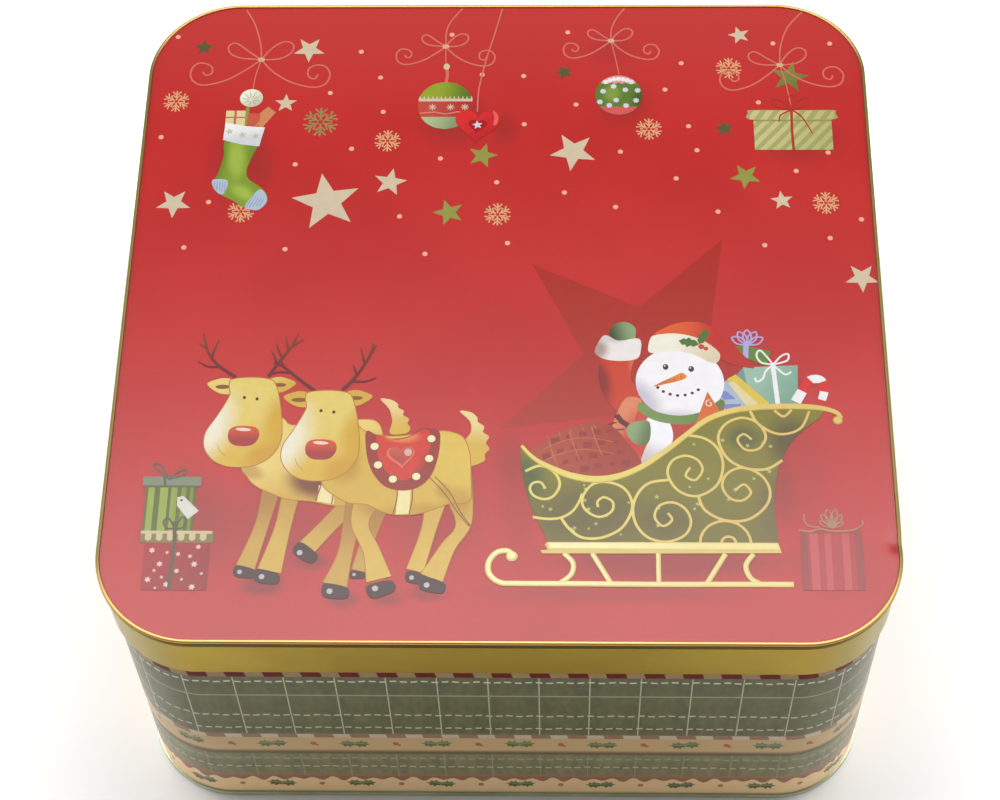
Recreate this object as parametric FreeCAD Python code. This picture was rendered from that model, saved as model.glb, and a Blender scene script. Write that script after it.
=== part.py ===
"""Square tinplate cookie tin with a slip lid, in millimetres.

The origin is the middle of the face that the tin stands on, with +Z up and the
front towards -Y. Every upright wall follows the same rounded square, so all of
its corners share four upright axes, and a profile is only ever drawn once: as
(distance from the middle of the tin, height) on the +X side.
"""
import FreeCAD, Part
import math
import os

# Driving dimensions
BEAD_HALF = 100.0           # middle of the tin to the outside of the lid's rolled bead
TIN_HEIGHT = 102.0          # standing face to the top of the bead
CORNER_AXIS = 75.0          # middle of the tin to each corner's upright axis, in X and in Y
SHEET = 0.3                 # tinplate
RUNNING_GAP = 0.3           # lid to tin, on every side and above the rim

# Lid
LID_DEPTH = 18.7            # top of the bead to the bottom of the skirt
BEAD_WIDTH = 1.0
BEAD_DEPTH = 2.2
BEAD_CROWN = 0.5            # radius over the top of the bead
BEAD_UNDER = 0.5            # radius under the bead
BEAD_LIP = 0.3              # radius where the bead turns down to the top panel
BEAD_PROUD = 0.5            # bead above the printed top panel
BEAD_OVERHANG = 0.7         # bead outside the skirt
CLAMPED_EDGE = 0.5          # how far the top panel reaches into the bead
HEM_DEPTH = 3.0             # the skirt's lower edge is folded in and flattened
HEM_ROUND = 0.29            # radius of the hem's fold, just under one sheet
SMALL_ROUND = 0.1           # hem's raw edge, and the inside corner under the bead

# Tin
RIM_RADIUS = 0.9            # outside radius of the rim, rolled inwards
RIM_TAIL = 0.2              # how far the roll's end carries on past its last bend
SEAM_WIDTH = 4.0            # the wall's locked side seam, inside the back
SEAM_ROOT = 0.1             # how far the seam's flap is sunk into the wall
BASE_BEAD_PROUD = 0.5       # base bead outside the wall
BASE_BEAD_INSIDE = 0.5      # base bead inside the wall
BASE_BEAD_HEIGHT = 2.0
BASE_BEAD_ROUND = 0.35
BASE_LIFT = 1.2             # base sheet above the standing face
STEP_HALF = 84.0            # half the width of the base's pressed-down middle
STEP_DEPTH = 0.6
STEP_SLOPE = 1.2            # width of the slope round the pressed-down middle

# Worked-out places, each measured from the middle of the tin or from z = 0
SKIRT_OUT = BEAD_HALF - BEAD_OVERHANG
SKIRT_IN = SKIRT_OUT - SHEET
HEM_IN = SKIRT_IN - SHEET
WALL_OUT = HEM_IN - RUNNING_GAP
WALL_IN = WALL_OUT - SHEET
PANEL_TOP = TIN_HEIGHT - BEAD_PROUD
PANEL_UNDER = PANEL_TOP - SHEET
PANEL_HALF = BEAD_HALF - BEAD_WIDTH + CLAMPED_EDGE
SKIRT_FOOT = TIN_HEIGHT - LID_DEPTH
RIM_TOP = PANEL_UNDER - RUNNING_GAP
WALL_FOOT = BASE_LIFT - SHEET


def outline(corners):
    """Closed face on the plane y = 0 from (x, z, rounding radius) corners."""
    starts, ends, bends = [], [], []
    count = len(corners)
    for i, (x, z, radius) in enumerate(corners):
        here = FreeCAD.Vector(x, 0, z)
        before = FreeCAD.Vector(corners[i - 1][0], 0, corners[i - 1][1]) - here
        after = FreeCAD.Vector(corners[(i + 1) % count][0], 0, corners[(i + 1) % count][1]) - here
        before.normalize()
        after.normalize()
        half = before.getAngle(after) / 2
        inset = radius / math.tan(half)
        starts.append(here + before * inset)
        ends.append(here + after * inset)
        middle = (before + after).normalize()
        bends.append(here + middle * (radius / math.sin(half) - radius))
    edges = []
    for i in range(count):
        if corners[i][2] > 0:
            edges.append(Part.Arc(starts[i], bends[i], ends[i]).toShape())
        following = starts[(i + 1) % count]
        if ends[i].distanceToPoint(following) > 1e-6:
            edges.append(Part.LineSegment(ends[i], following).toShape())
    return Part.Face(Part.Wire(edges))


def ring(face):
    """Carries a profile round the rounded square: four straights and four corners."""
    quarter_turn = FreeCAD.Vector(0, 0, 1)
    side = face.copy()
    side.translate(FreeCAD.Vector(0, -CORNER_AXIS, 0))
    side = side.extrude(FreeCAD.Vector(0, 2 * CORNER_AXIS, 0))
    corner = face.copy()
    corner.translate(FreeCAD.Vector(0, CORNER_AXIS, 0))
    corner = corner.revolve(FreeCAD.Vector(CORNER_AXIS, CORNER_AXIS, 0), quarter_turn, 90)
    pieces = []
    for turn in range(4):
        for piece in (side, corner):
            turned = piece.copy()
            turned.rotate(FreeCAD.Vector(0, 0, 0), quarter_turn, 90 * turn)
            pieces.append(turned)
    return pieces[0].multiFuse(pieces[1:]).removeSplitter()


def rounded_square(half, z_low, z_high):
    """Upright block whose corners turn about the tin's corner axes."""
    low_corner = FreeCAD.Vector(-half, -half, z_low)
    block = Part.makeBox(2 * half, 2 * half, z_high - z_low, low_corner)
    upright = []
    for edge in block.Edges:
        first, second = (vertex.Point for vertex in edge.Vertexes)
        if abs(first.z - second.z) > 1e-6:
            upright.append(edge)
    return block.makeFillet(half - CORNER_AXIS, upright)


def lid_top_panel():
    """Printed flat sheet whose edge is clamped all round inside the bead."""
    return rounded_square(PANEL_HALF, PANEL_UNDER, PANEL_TOP)


def lid_skirt_ring():
    """Gold-lacquered ring: hemmed skirt below, bead rolled out and back over the panel above."""
    bead_in = BEAD_HALF - BEAD_WIDTH
    bead_foot = TIN_HEIGHT - BEAD_DEPTH
    hem_top = SKIRT_FOOT + HEM_DEPTH
    profile = [
        (SKIRT_OUT, SKIRT_FOOT, HEM_ROUND),
        (SKIRT_OUT, bead_foot, SMALL_ROUND),
        (BEAD_HALF, bead_foot, BEAD_UNDER),
        (BEAD_HALF, TIN_HEIGHT, BEAD_CROWN),
        (bead_in, TIN_HEIGHT, BEAD_LIP),
        (bead_in, PANEL_TOP, 0),
        (PANEL_HALF, PANEL_TOP, 0),
        (PANEL_HALF, PANEL_UNDER, 0),
        (SKIRT_IN, PANEL_UNDER, 0),
        (SKIRT_IN, hem_top, 0),
        (HEM_IN, hem_top, SMALL_ROUND),
        (HEM_IN, SKIRT_FOOT, HEM_ROUND),
    ]
    return ring(outline(profile))


def body_wall():
    """Printed wall with its rim rolled inwards and its locked seam inside the back."""
    roll_in = WALL_OUT - 2 * RIM_RADIUS
    roll_foot = RIM_TOP - 2 * RIM_RADIUS
    tail = roll_in + RIM_RADIUS + RIM_TAIL
    inner_round = RIM_RADIUS - SHEET
    profile = [
        (WALL_OUT, WALL_FOOT, 0),
        (WALL_OUT, RIM_TOP, RIM_RADIUS),
        (roll_in, RIM_TOP, RIM_RADIUS),
        (roll_in, roll_foot, RIM_RADIUS),
        (tail, roll_foot, 0),
        (tail, roll_foot + SHEET, 0),
        (roll_in + SHEET, roll_foot + SHEET, inner_round),
        (roll_in + SHEET, RIM_TOP - SHEET, inner_round),
        (WALL_IN, RIM_TOP - SHEET, inner_round),
        (WALL_IN, WALL_FOOT, 0),
    ]
    seam_foot = BASE_BEAD_HEIGHT + SHEET
    seam_top = roll_foot - SHEET
    seam = Part.makeBox(
        SEAM_WIDTH, SHEET + SEAM_ROOT, seam_top - seam_foot,
        FreeCAD.Vector(-SEAM_WIDTH / 2, WALL_IN - SHEET, seam_foot),
    )
    return ring(outline(profile)).fuse(seam).removeSplitter()


def base_panel():
    """Sheet base held above the standing face by the bead that clamps the wall's foot."""
    bead_out = WALL_OUT + BASE_BEAD_PROUD
    bead_in = WALL_IN - BASE_BEAD_INSIDE
    sheet_under = BASE_LIFT - SHEET
    bead = ring(outline([
        (bead_in, 0, BASE_BEAD_ROUND),
        (bead_out, 0, BASE_BEAD_ROUND),
        (bead_out, BASE_BEAD_HEIGHT, BASE_BEAD_ROUND),
        (WALL_OUT, BASE_BEAD_HEIGHT, 0),
        (WALL_OUT, WALL_FOOT, 0),
        (WALL_IN, WALL_FOOT, 0),
        (WALL_IN, BASE_BEAD_HEIGHT, 0),
        (bead_in, BASE_BEAD_HEIGHT, BASE_BEAD_ROUND),
    ]))
    slope_half = STEP_HALF + STEP_SLOPE
    flange = rounded_square(bead_in, sheet_under, BASE_LIFT)
    flange = flange.cut(rounded_square(slope_half, sheet_under - 1, BASE_LIFT + 1))
    slope = ring(outline([
        (STEP_HALF, sheet_under - STEP_DEPTH, 0),
        (slope_half, sheet_under, 0),
        (slope_half, BASE_LIFT, 0),
        (STEP_HALF, BASE_LIFT - STEP_DEPTH, 0),
    ]))
    middle = rounded_square(STEP_HALF, sheet_under - STEP_DEPTH, BASE_LIFT - STEP_DEPTH)
    return bead.multiFuse([flange, slope, middle]).removeSplitter()


NODES = {
    "lid_top_panel": lid_top_panel,
    "lid_skirt_ring": lid_skirt_ring,
    "body_wall": body_wall,
    "base_panel": base_panel,
}

os.makedirs("parts", exist_ok=True)
for name, build in NODES.items():
    shape = build()
    box = shape.optimalBoundingBox(True, False)
    print(
        name, shape.ShapeType, "solids", len(shape.Solids), "valid", shape.isValid(),
        "volume mm3", round(shape.Volume, 1),
        "z", round(box.ZMin, 3), round(box.ZMax, 3), "half width", round(box.XMax, 3),
    )
    shape.exportStep(os.path.join("parts", name + ".step"))
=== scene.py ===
"""Visual model of a square printed cookie tin with a slip lid.

Lengths are millimetres until a mesh is made. The tin's sheets are swept round one
rounded square, and its printing lies on them as thin films, one piece per motif.
"""
import math
import random

import bpy
from mathutils import Matrix, Vector
from mathutils.geometry import delaunay_2d_cdt


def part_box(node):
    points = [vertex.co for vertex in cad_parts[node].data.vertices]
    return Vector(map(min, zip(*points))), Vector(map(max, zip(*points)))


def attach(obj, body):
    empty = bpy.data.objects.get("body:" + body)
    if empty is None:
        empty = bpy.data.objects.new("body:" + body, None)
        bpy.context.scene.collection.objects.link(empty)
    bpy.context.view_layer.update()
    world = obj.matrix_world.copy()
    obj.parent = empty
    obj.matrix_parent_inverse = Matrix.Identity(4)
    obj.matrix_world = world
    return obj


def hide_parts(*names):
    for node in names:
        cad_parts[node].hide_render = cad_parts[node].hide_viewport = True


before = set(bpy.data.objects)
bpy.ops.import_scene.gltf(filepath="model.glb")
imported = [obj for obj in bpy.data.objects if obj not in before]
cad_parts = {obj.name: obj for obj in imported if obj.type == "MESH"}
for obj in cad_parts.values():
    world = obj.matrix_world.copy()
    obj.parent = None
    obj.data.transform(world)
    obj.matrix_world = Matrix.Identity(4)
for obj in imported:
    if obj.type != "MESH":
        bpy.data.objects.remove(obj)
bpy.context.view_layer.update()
bpy.context.scene.view_settings.view_transform = "Standard"

MM = 0.001


# ---------------------------------------------------------------- places and sizes

def node_corner(node, high):
    """A CAD node's lowest or highest corner, in millimetres."""
    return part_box(node)[high] / MM


BEAD_HALF = node_corner("lid_skirt_ring", 1).x
LID_TOP = node_corner("lid_skirt_ring", 1).z
SKIRT_FOOT = node_corner("lid_skirt_ring", 0).z
PANEL_HALF = node_corner("lid_top_panel", 1).x
PANEL_TOP = node_corner("lid_top_panel", 1).z
PANEL_UNDER = node_corner("lid_top_panel", 0).z
WALL_OUT = node_corner("body_wall", 1).x
WALL_FOOT = node_corner("body_wall", 0).z
RIM_TOP = node_corner("body_wall", 1).z
BASE_OUT = node_corner("base_panel", 1).x
BASE_TOP = node_corner("base_panel", 1).z

CORNER_AXIS = 75.0          # middle of the tin to each corner's upright axis
SHEET = 0.3                 # tinplate
BEAD_WIDTH = 1.0
BEAD_DEPTH = 2.2
BEAD_OVERHANG = 0.7         # bead outside the skirt
BEAD_ROUND = 0.5            # radius over and under the bead
BEAD_LIP = 0.3              # radius where the bead turns down to the top panel
HEM_DEPTH = 3.0
HEM_ROUND = 0.29            # radius of the hem's fold
SMALL_ROUND = 0.1           # hem's raw edge, and the corner under the bead
RIM_RADIUS = 0.9            # outside radius of the rim, rolled inwards
RIM_TAIL = 0.2              # how far the roll's end carries on past its last bend
SEAM_WIDTH = 4.0            # the wall's side seam, inside the back
SEAM_EDGE = 0.1             # bevel of the seam's flap, and how far it is sunk into the wall
BASE_BEAD_LIP = 0.5         # base bead inside the wall
BASE_LIFT = 1.2             # base sheet above the standing face
BASE_ROUND = 0.35           # radius of the base bead's edges
STEP_HALF = 84.0            # half the width of the base's pressed-down middle
STEP_DEPTH = 0.6
STEP_SLOPE = 1.2            # width of the slope round the pressed-down middle

CORNER_STEPS = 40           # facets round each corner
SIDE_STEPS = 100            # facets along each side
BEND_STEPS = 6              # facets round each bend of a sheet's profile
PANEL_LOOPS = (78, 90, 94, 96, 97, 98, 98.7)    # the top panel's, finer towards the dent
SHARP_ANGLE = 40            # facets that meet at more degrees than this keep a sharp edge
SAME_POINT = 0.001          # points of a profile nearer than this are one

WALL_IN = WALL_OUT - SHEET
ROLL_FOOT = RIM_TOP - 2 * RIM_RADIUS        # the rim roll's lowest point
CORNER_RADIUS = WALL_OUT - CORNER_AXIS
SIDE_LENGTH = 2 * CORNER_AXIS
CORNER_LENGTH = CORNER_RADIUS * math.pi / 2
QUARTER = SIDE_LENGTH + CORNER_LENGTH       # printed length from one side's middle to the next
SEAM_GAP = 0.5                              # bare metal between the print's two ends

DENT_AT = Vector((98.8, -71.6, LID_TOP))    # a knock on the lid's bead, on the right
DENT_REACH = 3.4                            # how far from its middle it is felt
DENT_PUSH = Vector((-0.12, 0.0, -0.34))     # how its middle has moved


# ---------------------------------------------------------------- outlines

def moved(points, x, y, scale=1.0, turn=0.0, mirror=False):
    """Points scaled and turned about the origin, then moved to (x, y)."""
    c, s = math.cos(math.radians(turn)), math.sin(math.radians(turn))
    placed = []
    for u, v in points:
        u, v = (-u * scale if mirror else u * scale), v * scale
        placed.append((x + u * c - v * s, y + u * s + v * c))
    return placed


def ellipse(x, y, rx, ry=None, turn=0.0, count=28):
    """Closed outline of an ellipse, turned anticlockwise by turn degrees."""
    ry = rx if ry is None else ry
    outline = []
    for i in range(count):
        a = 2 * math.pi * i / count
        outline.append((rx * math.cos(a), ry * math.sin(a)))
    return moved(outline, x, y, turn=turn)


def arc(x, y, rx, ry, start, swing, steps):
    """Points along an ellipse from start degrees, through swing degrees."""
    points = []
    for i in range(steps + 1):
        a = math.radians(start + swing * i / steps)
        points.append((x + rx * math.cos(a), y + ry * math.sin(a)))
    return points


def star(x, y, radius, turn=0.0, inner=0.42, tips=5):
    """Closed outline of a star with one tip turned anticlockwise from straight up."""
    outline = []
    for i in range(2 * tips):
        r = radius if i % 2 == 0 else radius * inner
        a = math.radians(90 + turn + 180 * i / tips)
        outline.append((x + r * math.cos(a), y + r * math.sin(a)))
    return outline


def box(x0, y0, x1, y1):
    """Closed outline of an upright rectangle."""
    return [(x0, y0), (x1, y0), (x1, y1), (x0, y1)]


def heart(x, y, size, turn=0.0, count=32):
    """Closed outline of a plain heart, about two sizes wide."""
    outline = []
    for i in range(count):
        a = 2 * math.pi * i / count
        v = 13 * math.cos(a) - 5 * math.cos(2 * a) - 2 * math.cos(3 * a) - math.cos(4 * a)
        outline.append((math.sin(a) ** 3, v / 16))
    return moved(outline, x, y, size, turn)


def smooth(points, closed=True, steps=5):
    """A round curve through the points, with so many steps from one to the next."""
    count = len(points)
    spans = count if closed else count - 1
    curve = []
    for i in range(spans):
        a, b, c, d = (Vector(points[k % count if closed else min(max(k, 0), count - 1)])
                      for k in range(i - 1, i + 3))
        for j in range(steps):
            t = j / steps
            p = 2 * b + (c - a) * t + (2 * a - 5 * b + 4 * c - d) * t * t
            p += (3 * b - a - 3 * c + d) * t ** 3
            curve.append(tuple(p / 2))
    if not closed:
        curve.append(tuple(points[-1]))
    return curve


def spiral(x, y, outer, inner, start, turns, count=22):
    """Points of a spiral that winds inwards, anticlockwise from start degrees."""
    points = []
    for i in range(count + 1):
        t = i / count
        r = outer + (inner - outer) * t
        a = math.radians(start) + 2 * math.pi * turns * t
        points.append((x + r * math.cos(a), y + r * math.sin(a)))
    return points


def clip(points, low, high):
    """A convex outline cut to the stretch low..high across the page."""
    for limit, keep in ((low, 1), (high, -1)):
        kept = []
        for i, b in enumerate(points):
            a = points[i - 1]
            a_in, b_in = (a[0] - limit) * keep >= 0, (b[0] - limit) * keep >= 0
            if a_in != b_in:
                t = (limit - a[0]) / (b[0] - a[0])
                kept.append((limit, a[1] + (b[1] - a[1]) * t))
            if b_in:
                kept.append(b)
        points = kept
    return points


def inside_outline(outline, x, y, margin):
    """Whether a spot lies in an outline, at least a margin away from its corners."""
    within = False
    for (x0, y0), (x1, y1) in zip(outline, outline[1:] + outline[:1]):
        if math.hypot(x - x0, y - y0) < margin:
            return False
        if (y0 > y) != (y1 > y) and x < x0 + (y - y0) * (x1 - x0) / (y1 - y0):
            within = not within
    return within


def sideways(points, i):
    """The unit direction across a line of points, at its point number i."""
    ahead = Vector(points[min(i + 1, len(points) - 1)]) - Vector(points[max(i - 1, 0)])
    return Vector((-ahead.y, ahead.x)).normalized()


class Print:
    """Flat printed shapes, each with its ink's name, painted one over another."""

    def __init__(self):
        self.shapes = []

    def fill(self, shade, outline):
        """A shape with this closed outline."""
        self.shapes.append((shade, outline))

    def blob(self, shade, points, steps=4):
        """A shape whose outline is a round curve through the points."""
        self.fill(shade, smooth(points, True, steps))

    def line(self, shade, points, width, end_width=None):
        """A drawn line; its width runs from width to end_width. It may cross itself."""
        end_width = width if end_width is None else end_width
        last = len(points) - 1
        edges = []
        for i, point in enumerate(points):
            half = (width + (end_width - width) * i / last) / 2
            across = sideways(points, i) * half
            edges.append((Vector(point) + across, Vector(point) - across))
        for (a, b), (c, d) in zip(edges, edges[1:]):
            self.fill(shade, [tuple(b), tuple(d), tuple(c), tuple(a)])

    def curve(self, shade, points, width, end_width=None, steps=5):
        """A line drawn as a round curve through the points."""
        self.line(shade, smooth(points, False, steps), width, end_width)

    def taper(self, shade, stations):
        """A limb: a closed outline round a line of (x, y, width)."""
        points = [(x, y) for x, y, _ in stations]
        left, right = [], []
        for i, (x, y, width) in enumerate(stations):
            across = sideways(points, i) * width / 2
            left.append(tuple(Vector((x, y)) + across))
            right.append(tuple(Vector((x, y)) - across))
        self.fill(shade, smooth(left, False) + smooth(right[::-1], False))

    def edged(self, edge, shade, outline, width=0.5):
        """A shape with a line of another ink half hidden round it."""
        self.line(edge, outline + outline[:1], width)
        self.fill(shade, outline)

    def loops(self, shade, knot, width, *loops):
        """Loops of ribbon, each a round line from the knot through its points and back."""
        for loop in loops:
            self.curve(shade, [knot, *loop, knot], width)

    def petals(self, shade, place, spread, reach, width, *petals):
        """Slim loops from one place, each (turn, size)."""
        petal = smooth([(0, 0), (-spread, reach), (0, 1), (spread, reach), (0, 0)], False, 4)
        for turn, size in petals:
            self.line(shade, moved(petal, *place, size, turn), width)


# ---------------------------------------------------------------- materials

def rgb(red, green, blue):
    """An 8-bit screen colour as the linear colour that shaders use."""
    linear = []
    for value in (red, green, blue):
        v = value / 255
        linear.append(v / 12.92 if v <= 0.04045 else ((v + 0.055) / 1.055) ** 2.4)
    return (*linear, 1.0)


class Nodes:
    """A material's nodes, with short ways to add the ones used here."""

    def __init__(self, name):
        self.material = bpy.data.materials.new(name)
        self.material.use_nodes = True
        self.tree = self.material.node_tree
        self.shader = self.tree.nodes["Principled BSDF"]

    def add(self, kind, inputs=(), **settings):
        """A node whose inputs are constants, or links where the value is a socket."""
        node = self.tree.nodes.new("ShaderNode" + kind)
        for key, value in settings.items():
            setattr(node, key, value)
        for key, value in dict(inputs).items():
            if isinstance(value, bpy.types.NodeSocket):
                self.tree.links.new(value, node.inputs[key])
            else:
                node.inputs[key].default_value = value
        return node

    def maths(self, operation, *values):
        """The result of a sum on one or two numbers."""
        return self.add("Math", enumerate(values), operation=operation).outputs[0]

    def vectors(self, operation, *values, result="Vector"):
        """The result of a sum on one or two vectors."""
        return self.add("VectorMath", enumerate(values), operation=operation).outputs[result]

    def place(self):
        """Where a point of the print lies on its sheet, in millimetres."""
        spot = self.add("UVMap", uv_map="print").outputs[0]
        return self.vectors("MULTIPLY", spot, (1 / MM, 1 / MM, 1))

    def noise(self, vector, scale, detail=2.0, stretch=(1, 1, 1)):
        """Noise from 0 to 1, with scale in cycles per millimetre."""
        stretched = self.vectors("MULTIPLY", vector, stretch)
        return self.add("TexNoise", {"Vector": stretched, "Scale": scale,
                                     "Detail": detail}).outputs["Fac"]

    def ranged(self, value, low, high, to_low=0.0, to_high=1.0):
        """The value's stretch low..high as to_low..to_high, eased at both ends."""
        return self.add("MapRange", {"Value": value, "From Min": low, "From Max": high,
                                     "To Min": to_low, "To Max": to_high},
                        interpolation_type="SMOOTHSTEP").outputs["Result"]

    def mix(self, factor, first, second, blend="MIX"):
        """Two colours mixed; they are the Mix node's inputs 6 and 7, and its output 2."""
        return self.add("Mix", {0: factor, 6: first, 7: second}, data_type="RGBA",
                        blend_type=blend).outputs[2]

    def colour(self, value):
        """Links the material's colour."""
        self.tree.links.new(value, self.shader.inputs["Base Color"])

    def bump(self, height, distance, strength):
        """Makes the surface look uneven by a distance in millimetres."""
        node = self.add("Bump", {"Height": height, "Distance": distance * MM,
                                 "Strength": strength})
        self.tree.links.new(node.outputs[0], self.shader.inputs["Normal"])

    def finish(self, roughness, metallic=0.0, specular=0.5):
        """Sets the material's plain values and hands it over."""
        self.shader.inputs["Roughness"].default_value = roughness
        self.shader.inputs["Metallic"].default_value = metallic
        self.shader.inputs["Specular IOR Level"].default_value = specular
        return self.material


INKS = {}                   # every ink's material, by its name
INK_ROUGHNESS = 0.26
INK_GRAIN = 0.035           # how much the inks' tone wanders
DARKEST_PAINT = 0.002
SPOT_CORE = 0.25            # share of a soft oval's radius that is fully tinted
LID_GLOSS = 0.27
WALL_GLOSS = 0.16
CANDY_GLOSS = 0.04          # of the candy stripes, in the shade of the lid
LID_LIGHT = 1.5             # how much brighter than its paint a lid colour looks
BACK_SHEEN = 0.012          # what the lid's gloss adds to a colour, towards the back
FRONT_SHEEN = 0.075         # and towards the front
RED, RED_SECOND = (160, 30, 27), (154, 26, 24)      # the lid's ground, a little uneven
RED_BACK = (158, 44, 42)    # what it passes to between two distances from the middle
RED_BACK_FROM, RED_BACK_TO = 50, 100
RED_SHADOW = (84, 30, 24)
WHITE = (255, 255, 255)
CORNER_REFLECTION_WIDTH = 14      # how far the metal's painted corner reflection reaches back from the corner axes
BEAD_WEAR = 0.25            # how much rougher the metal is on the top of its last band
VARNISH_ROUGHNESS = 0.2


def paint(colour, light, sheen):
    """The paint that looks like an 8-bit screen colour, under so much light and sheen."""
    seen = rgb(*colour)
    return (*(max(DARKEST_PAINT, (value - sheen) / light) for value in seen[:3]), 1.0)


def patched(made, place, shade, patches):
    """The shade under soft ovals of other colours: (colour, depth, x, y, rx, ry, turn)."""
    for tint, depth, x, y, rx, ry, turn in patches:
        turned = made.add("VectorRotate", {"Vector": place, "Center": (x, y, 0),
                                           "Angle": -math.radians(turn)},
                          rotation_type="Z_AXIS").outputs[0]
        offset = made.vectors("SUBTRACT", turned, (x, y, 0))
        shape = made.vectors("MULTIPLY", offset, (1 / rx, 1 / ry, 0))
        away = made.vectors("LENGTH", shape, result="Value")
        shade = made.mix(made.ranged(away, SPOT_CORE, 1.0, depth, 0.0), shade, tint)
    return shade


def ink(name, colour, second=None, across=None, spots=(), sheen=BACK_SHEEN, light=LID_LIGHT,
        gloss=LID_GLOSS):
    """Printing ink, a little uneven as screened colour is. Its colour can pass to a second one
    from one place of the print to another, across, and it can have soft spots of other colours."""
    made = Nodes("ink_" + name)
    place = made.place()
    shade = paint(colour, light, sheen)
    if second:
        start, end = Vector((*across[0], 0)), Vector((*across[1], 0))
        run = (end - start) / (end - start).length_squared
        offset = made.vectors("SUBTRACT", place, start)
        along = made.vectors("DOT_PRODUCT", offset, run, result="Value")
        shade = made.mix(made.ranged(along, 0, 1), shade, paint(second, light, sheen))
    shade = patched(made, place, shade, [(paint(tint, light, sheen), *rest)
                                         for tint, *rest in spots])
    cloud = made.noise(place, 0.35, 3)
    tone = made.ranged(cloud, 0.3, 0.7, 1 - INK_GRAIN, 1 + INK_GRAIN / 2)
    made.colour(made.mix(1.0, shade, tone, "MULTIPLY"))
    made.bump(made.noise(place, 0.25, 1), 0.01, 0.3)
    INKS[name] = made.finish(INK_ROUGHNESS, specular=gloss)


def low_ink(name, *values, **settings):
    """Ink of the lid's front half, where the gloss shows more light."""
    ink(name, *values, sheen=FRONT_SHEEN, **settings)


def wall_ink(name, colour, gloss=WALL_GLOSS):
    """Ink of the tin's wall, which the lamps hardly shine on."""
    ink(name, colour, sheen=0, light=1, gloss=gloss)


def plain_inks(kind, colours):
    """Inks of one kind that have one colour each."""
    for name, colour in colours.items():
        kind(name, colour)


def lid_red(shadows):
    """The lid's red ground, darkened softly beside the printed figures."""
    made = Nodes("lid_red")
    place = made.place()
    cloud = made.ranged(made.noise(place, 0.02, 2), 0.35, 0.65)
    shade = made.mix(cloud, rgb(*RED), rgb(*RED_SECOND))
    screened = made.ranged(made.noise(place, 1.6, 1), 0.35, 0.65, 0.97, 1.02)
    shade = made.mix(1.0, shade, screened, "MULTIPLY")
    towards_back = made.add("SeparateXYZ", {0: place}).outputs[1]
    back = made.ranged(towards_back, RED_BACK_FROM, RED_BACK_TO)
    shade = made.mix(back, shade, rgb(*RED_BACK))
    made.colour(patched(made, place, shade, [(rgb(*RED_SHADOW), depth, x, y, rx, ry, 0)
                                             for x, y, rx, ry, depth in shadows]))
    made.bump(made.noise(place, 0.05, 2), 0.02, 0.5)
    return made.finish(INK_ROUGHNESS, specular=LID_GLOSS)


def metal(name, colour, second, roughness, bands=(), edge=WHITE, varnish=0.0, corner=None):
    """Lacquered tinplate: faint rolling lines and uneven tint, with rougher patches. bands are
    (colour along the sides, colour along the front and back, height, blur) painted over the lacquer
    above a height, as painted shade and painted highlight; edge is its tint seen at a slant,
    varnish how much clear varnish it has below the first band, and corner a painted reflection: the
    colour the metal takes round the tin's upright corners."""
    made = Nodes(name)
    where = made.add("TexCoord").outputs["Object"]
    place = made.vectors("MULTIPLY", where, (1 / MM, 1 / MM, 1 / MM))
    cloud = made.noise(place, 0.06, 3)
    shade = made.mix(made.ranged(cloud, 0.35, 0.7), rgb(*colour), rgb(*second))
    apart = made.add("SeparateXYZ", {0: place})
    height = apart.outputs[2]
    depth = made.maths("ABSOLUTE", apart.outputs[1])
    # Painted reflection: a duller, darker gold round the tin's upright corners.
    if corner:
        width = made.maths("ABSOLUTE", apart.outputs[0])
        inner = made.maths("MINIMUM", width, depth)
        at_corner = made.ranged(inner, CORNER_AXIS, CORNER_AXIS + CORNER_REFLECTION_WIDTH)
        shade = made.mix(at_corner, shade, rgb(*corner))
    # Painted light: each band is painted shade or painted highlight, in one colour along the sides
    # and another along the front and back.
    at_front = made.ranged(depth, CORNER_AXIS, BEAD_HALF - 2 * BEAD_WIDTH)
    for side, front, level, blur in bands:
        tint = made.mix(at_front, rgb(*side), rgb(*front))
        shade = made.mix(made.ranged(height, level - blur, level + blur), shade, tint)
    made.colour(shade)
    rolled = made.noise(place, 0.5, 2, (0.15, 0.15, 3.0))
    made.bump(rolled, 0.002, 0.25)
    patches = made.ranged(made.noise(place, 0.12, 3), 0.3, 0.7, roughness * 0.96, roughness * 1.06)
    if bands:
        level = bands[-1][2]
        worn = made.ranged(height, level - 0.1, level + 0.1, 0, BEAD_WEAR)
        patches = made.maths("ADD", patches, worn)
    made.tree.links.new(patches, made.shader.inputs["Roughness"])
    made.shader.inputs["Specular Tint"].default_value = rgb(*edge)
    if varnish:
        _, _, level, blur = bands[0]
        coat = made.ranged(height, level - blur, level + blur, varnish, 0)
        made.tree.links.new(coat, made.shader.inputs["Coat Weight"])
        made.shader.inputs["Coat Roughness"].default_value = VARNISH_ROUGHNESS
    return made.finish(roughness, 1.0)


# ---------------------------------------------------------------- sheet metal

def columns():
    """(point on the corner square, outward direction) round the tin, from the back's middle."""
    found = []
    for side in range(4):
        turn = math.radians(90 - 90 * side)
        out = Vector((math.cos(turn), math.sin(turn), 0))
        along = Vector((out.y, -out.x, 0))
        for i in range(SIDE_STEPS):
            place = -CORNER_AXIS + SIDE_LENGTH * i / SIDE_STEPS
            found.append((out * CORNER_AXIS + along * place, out))
        for i in range(CORNER_STEPS):
            a = math.pi / 2 * i / CORNER_STEPS
            direction = out * math.cos(a) + along * math.sin(a)
            found.append(((out + along) * CORNER_AXIS, direction))
    return found


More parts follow.
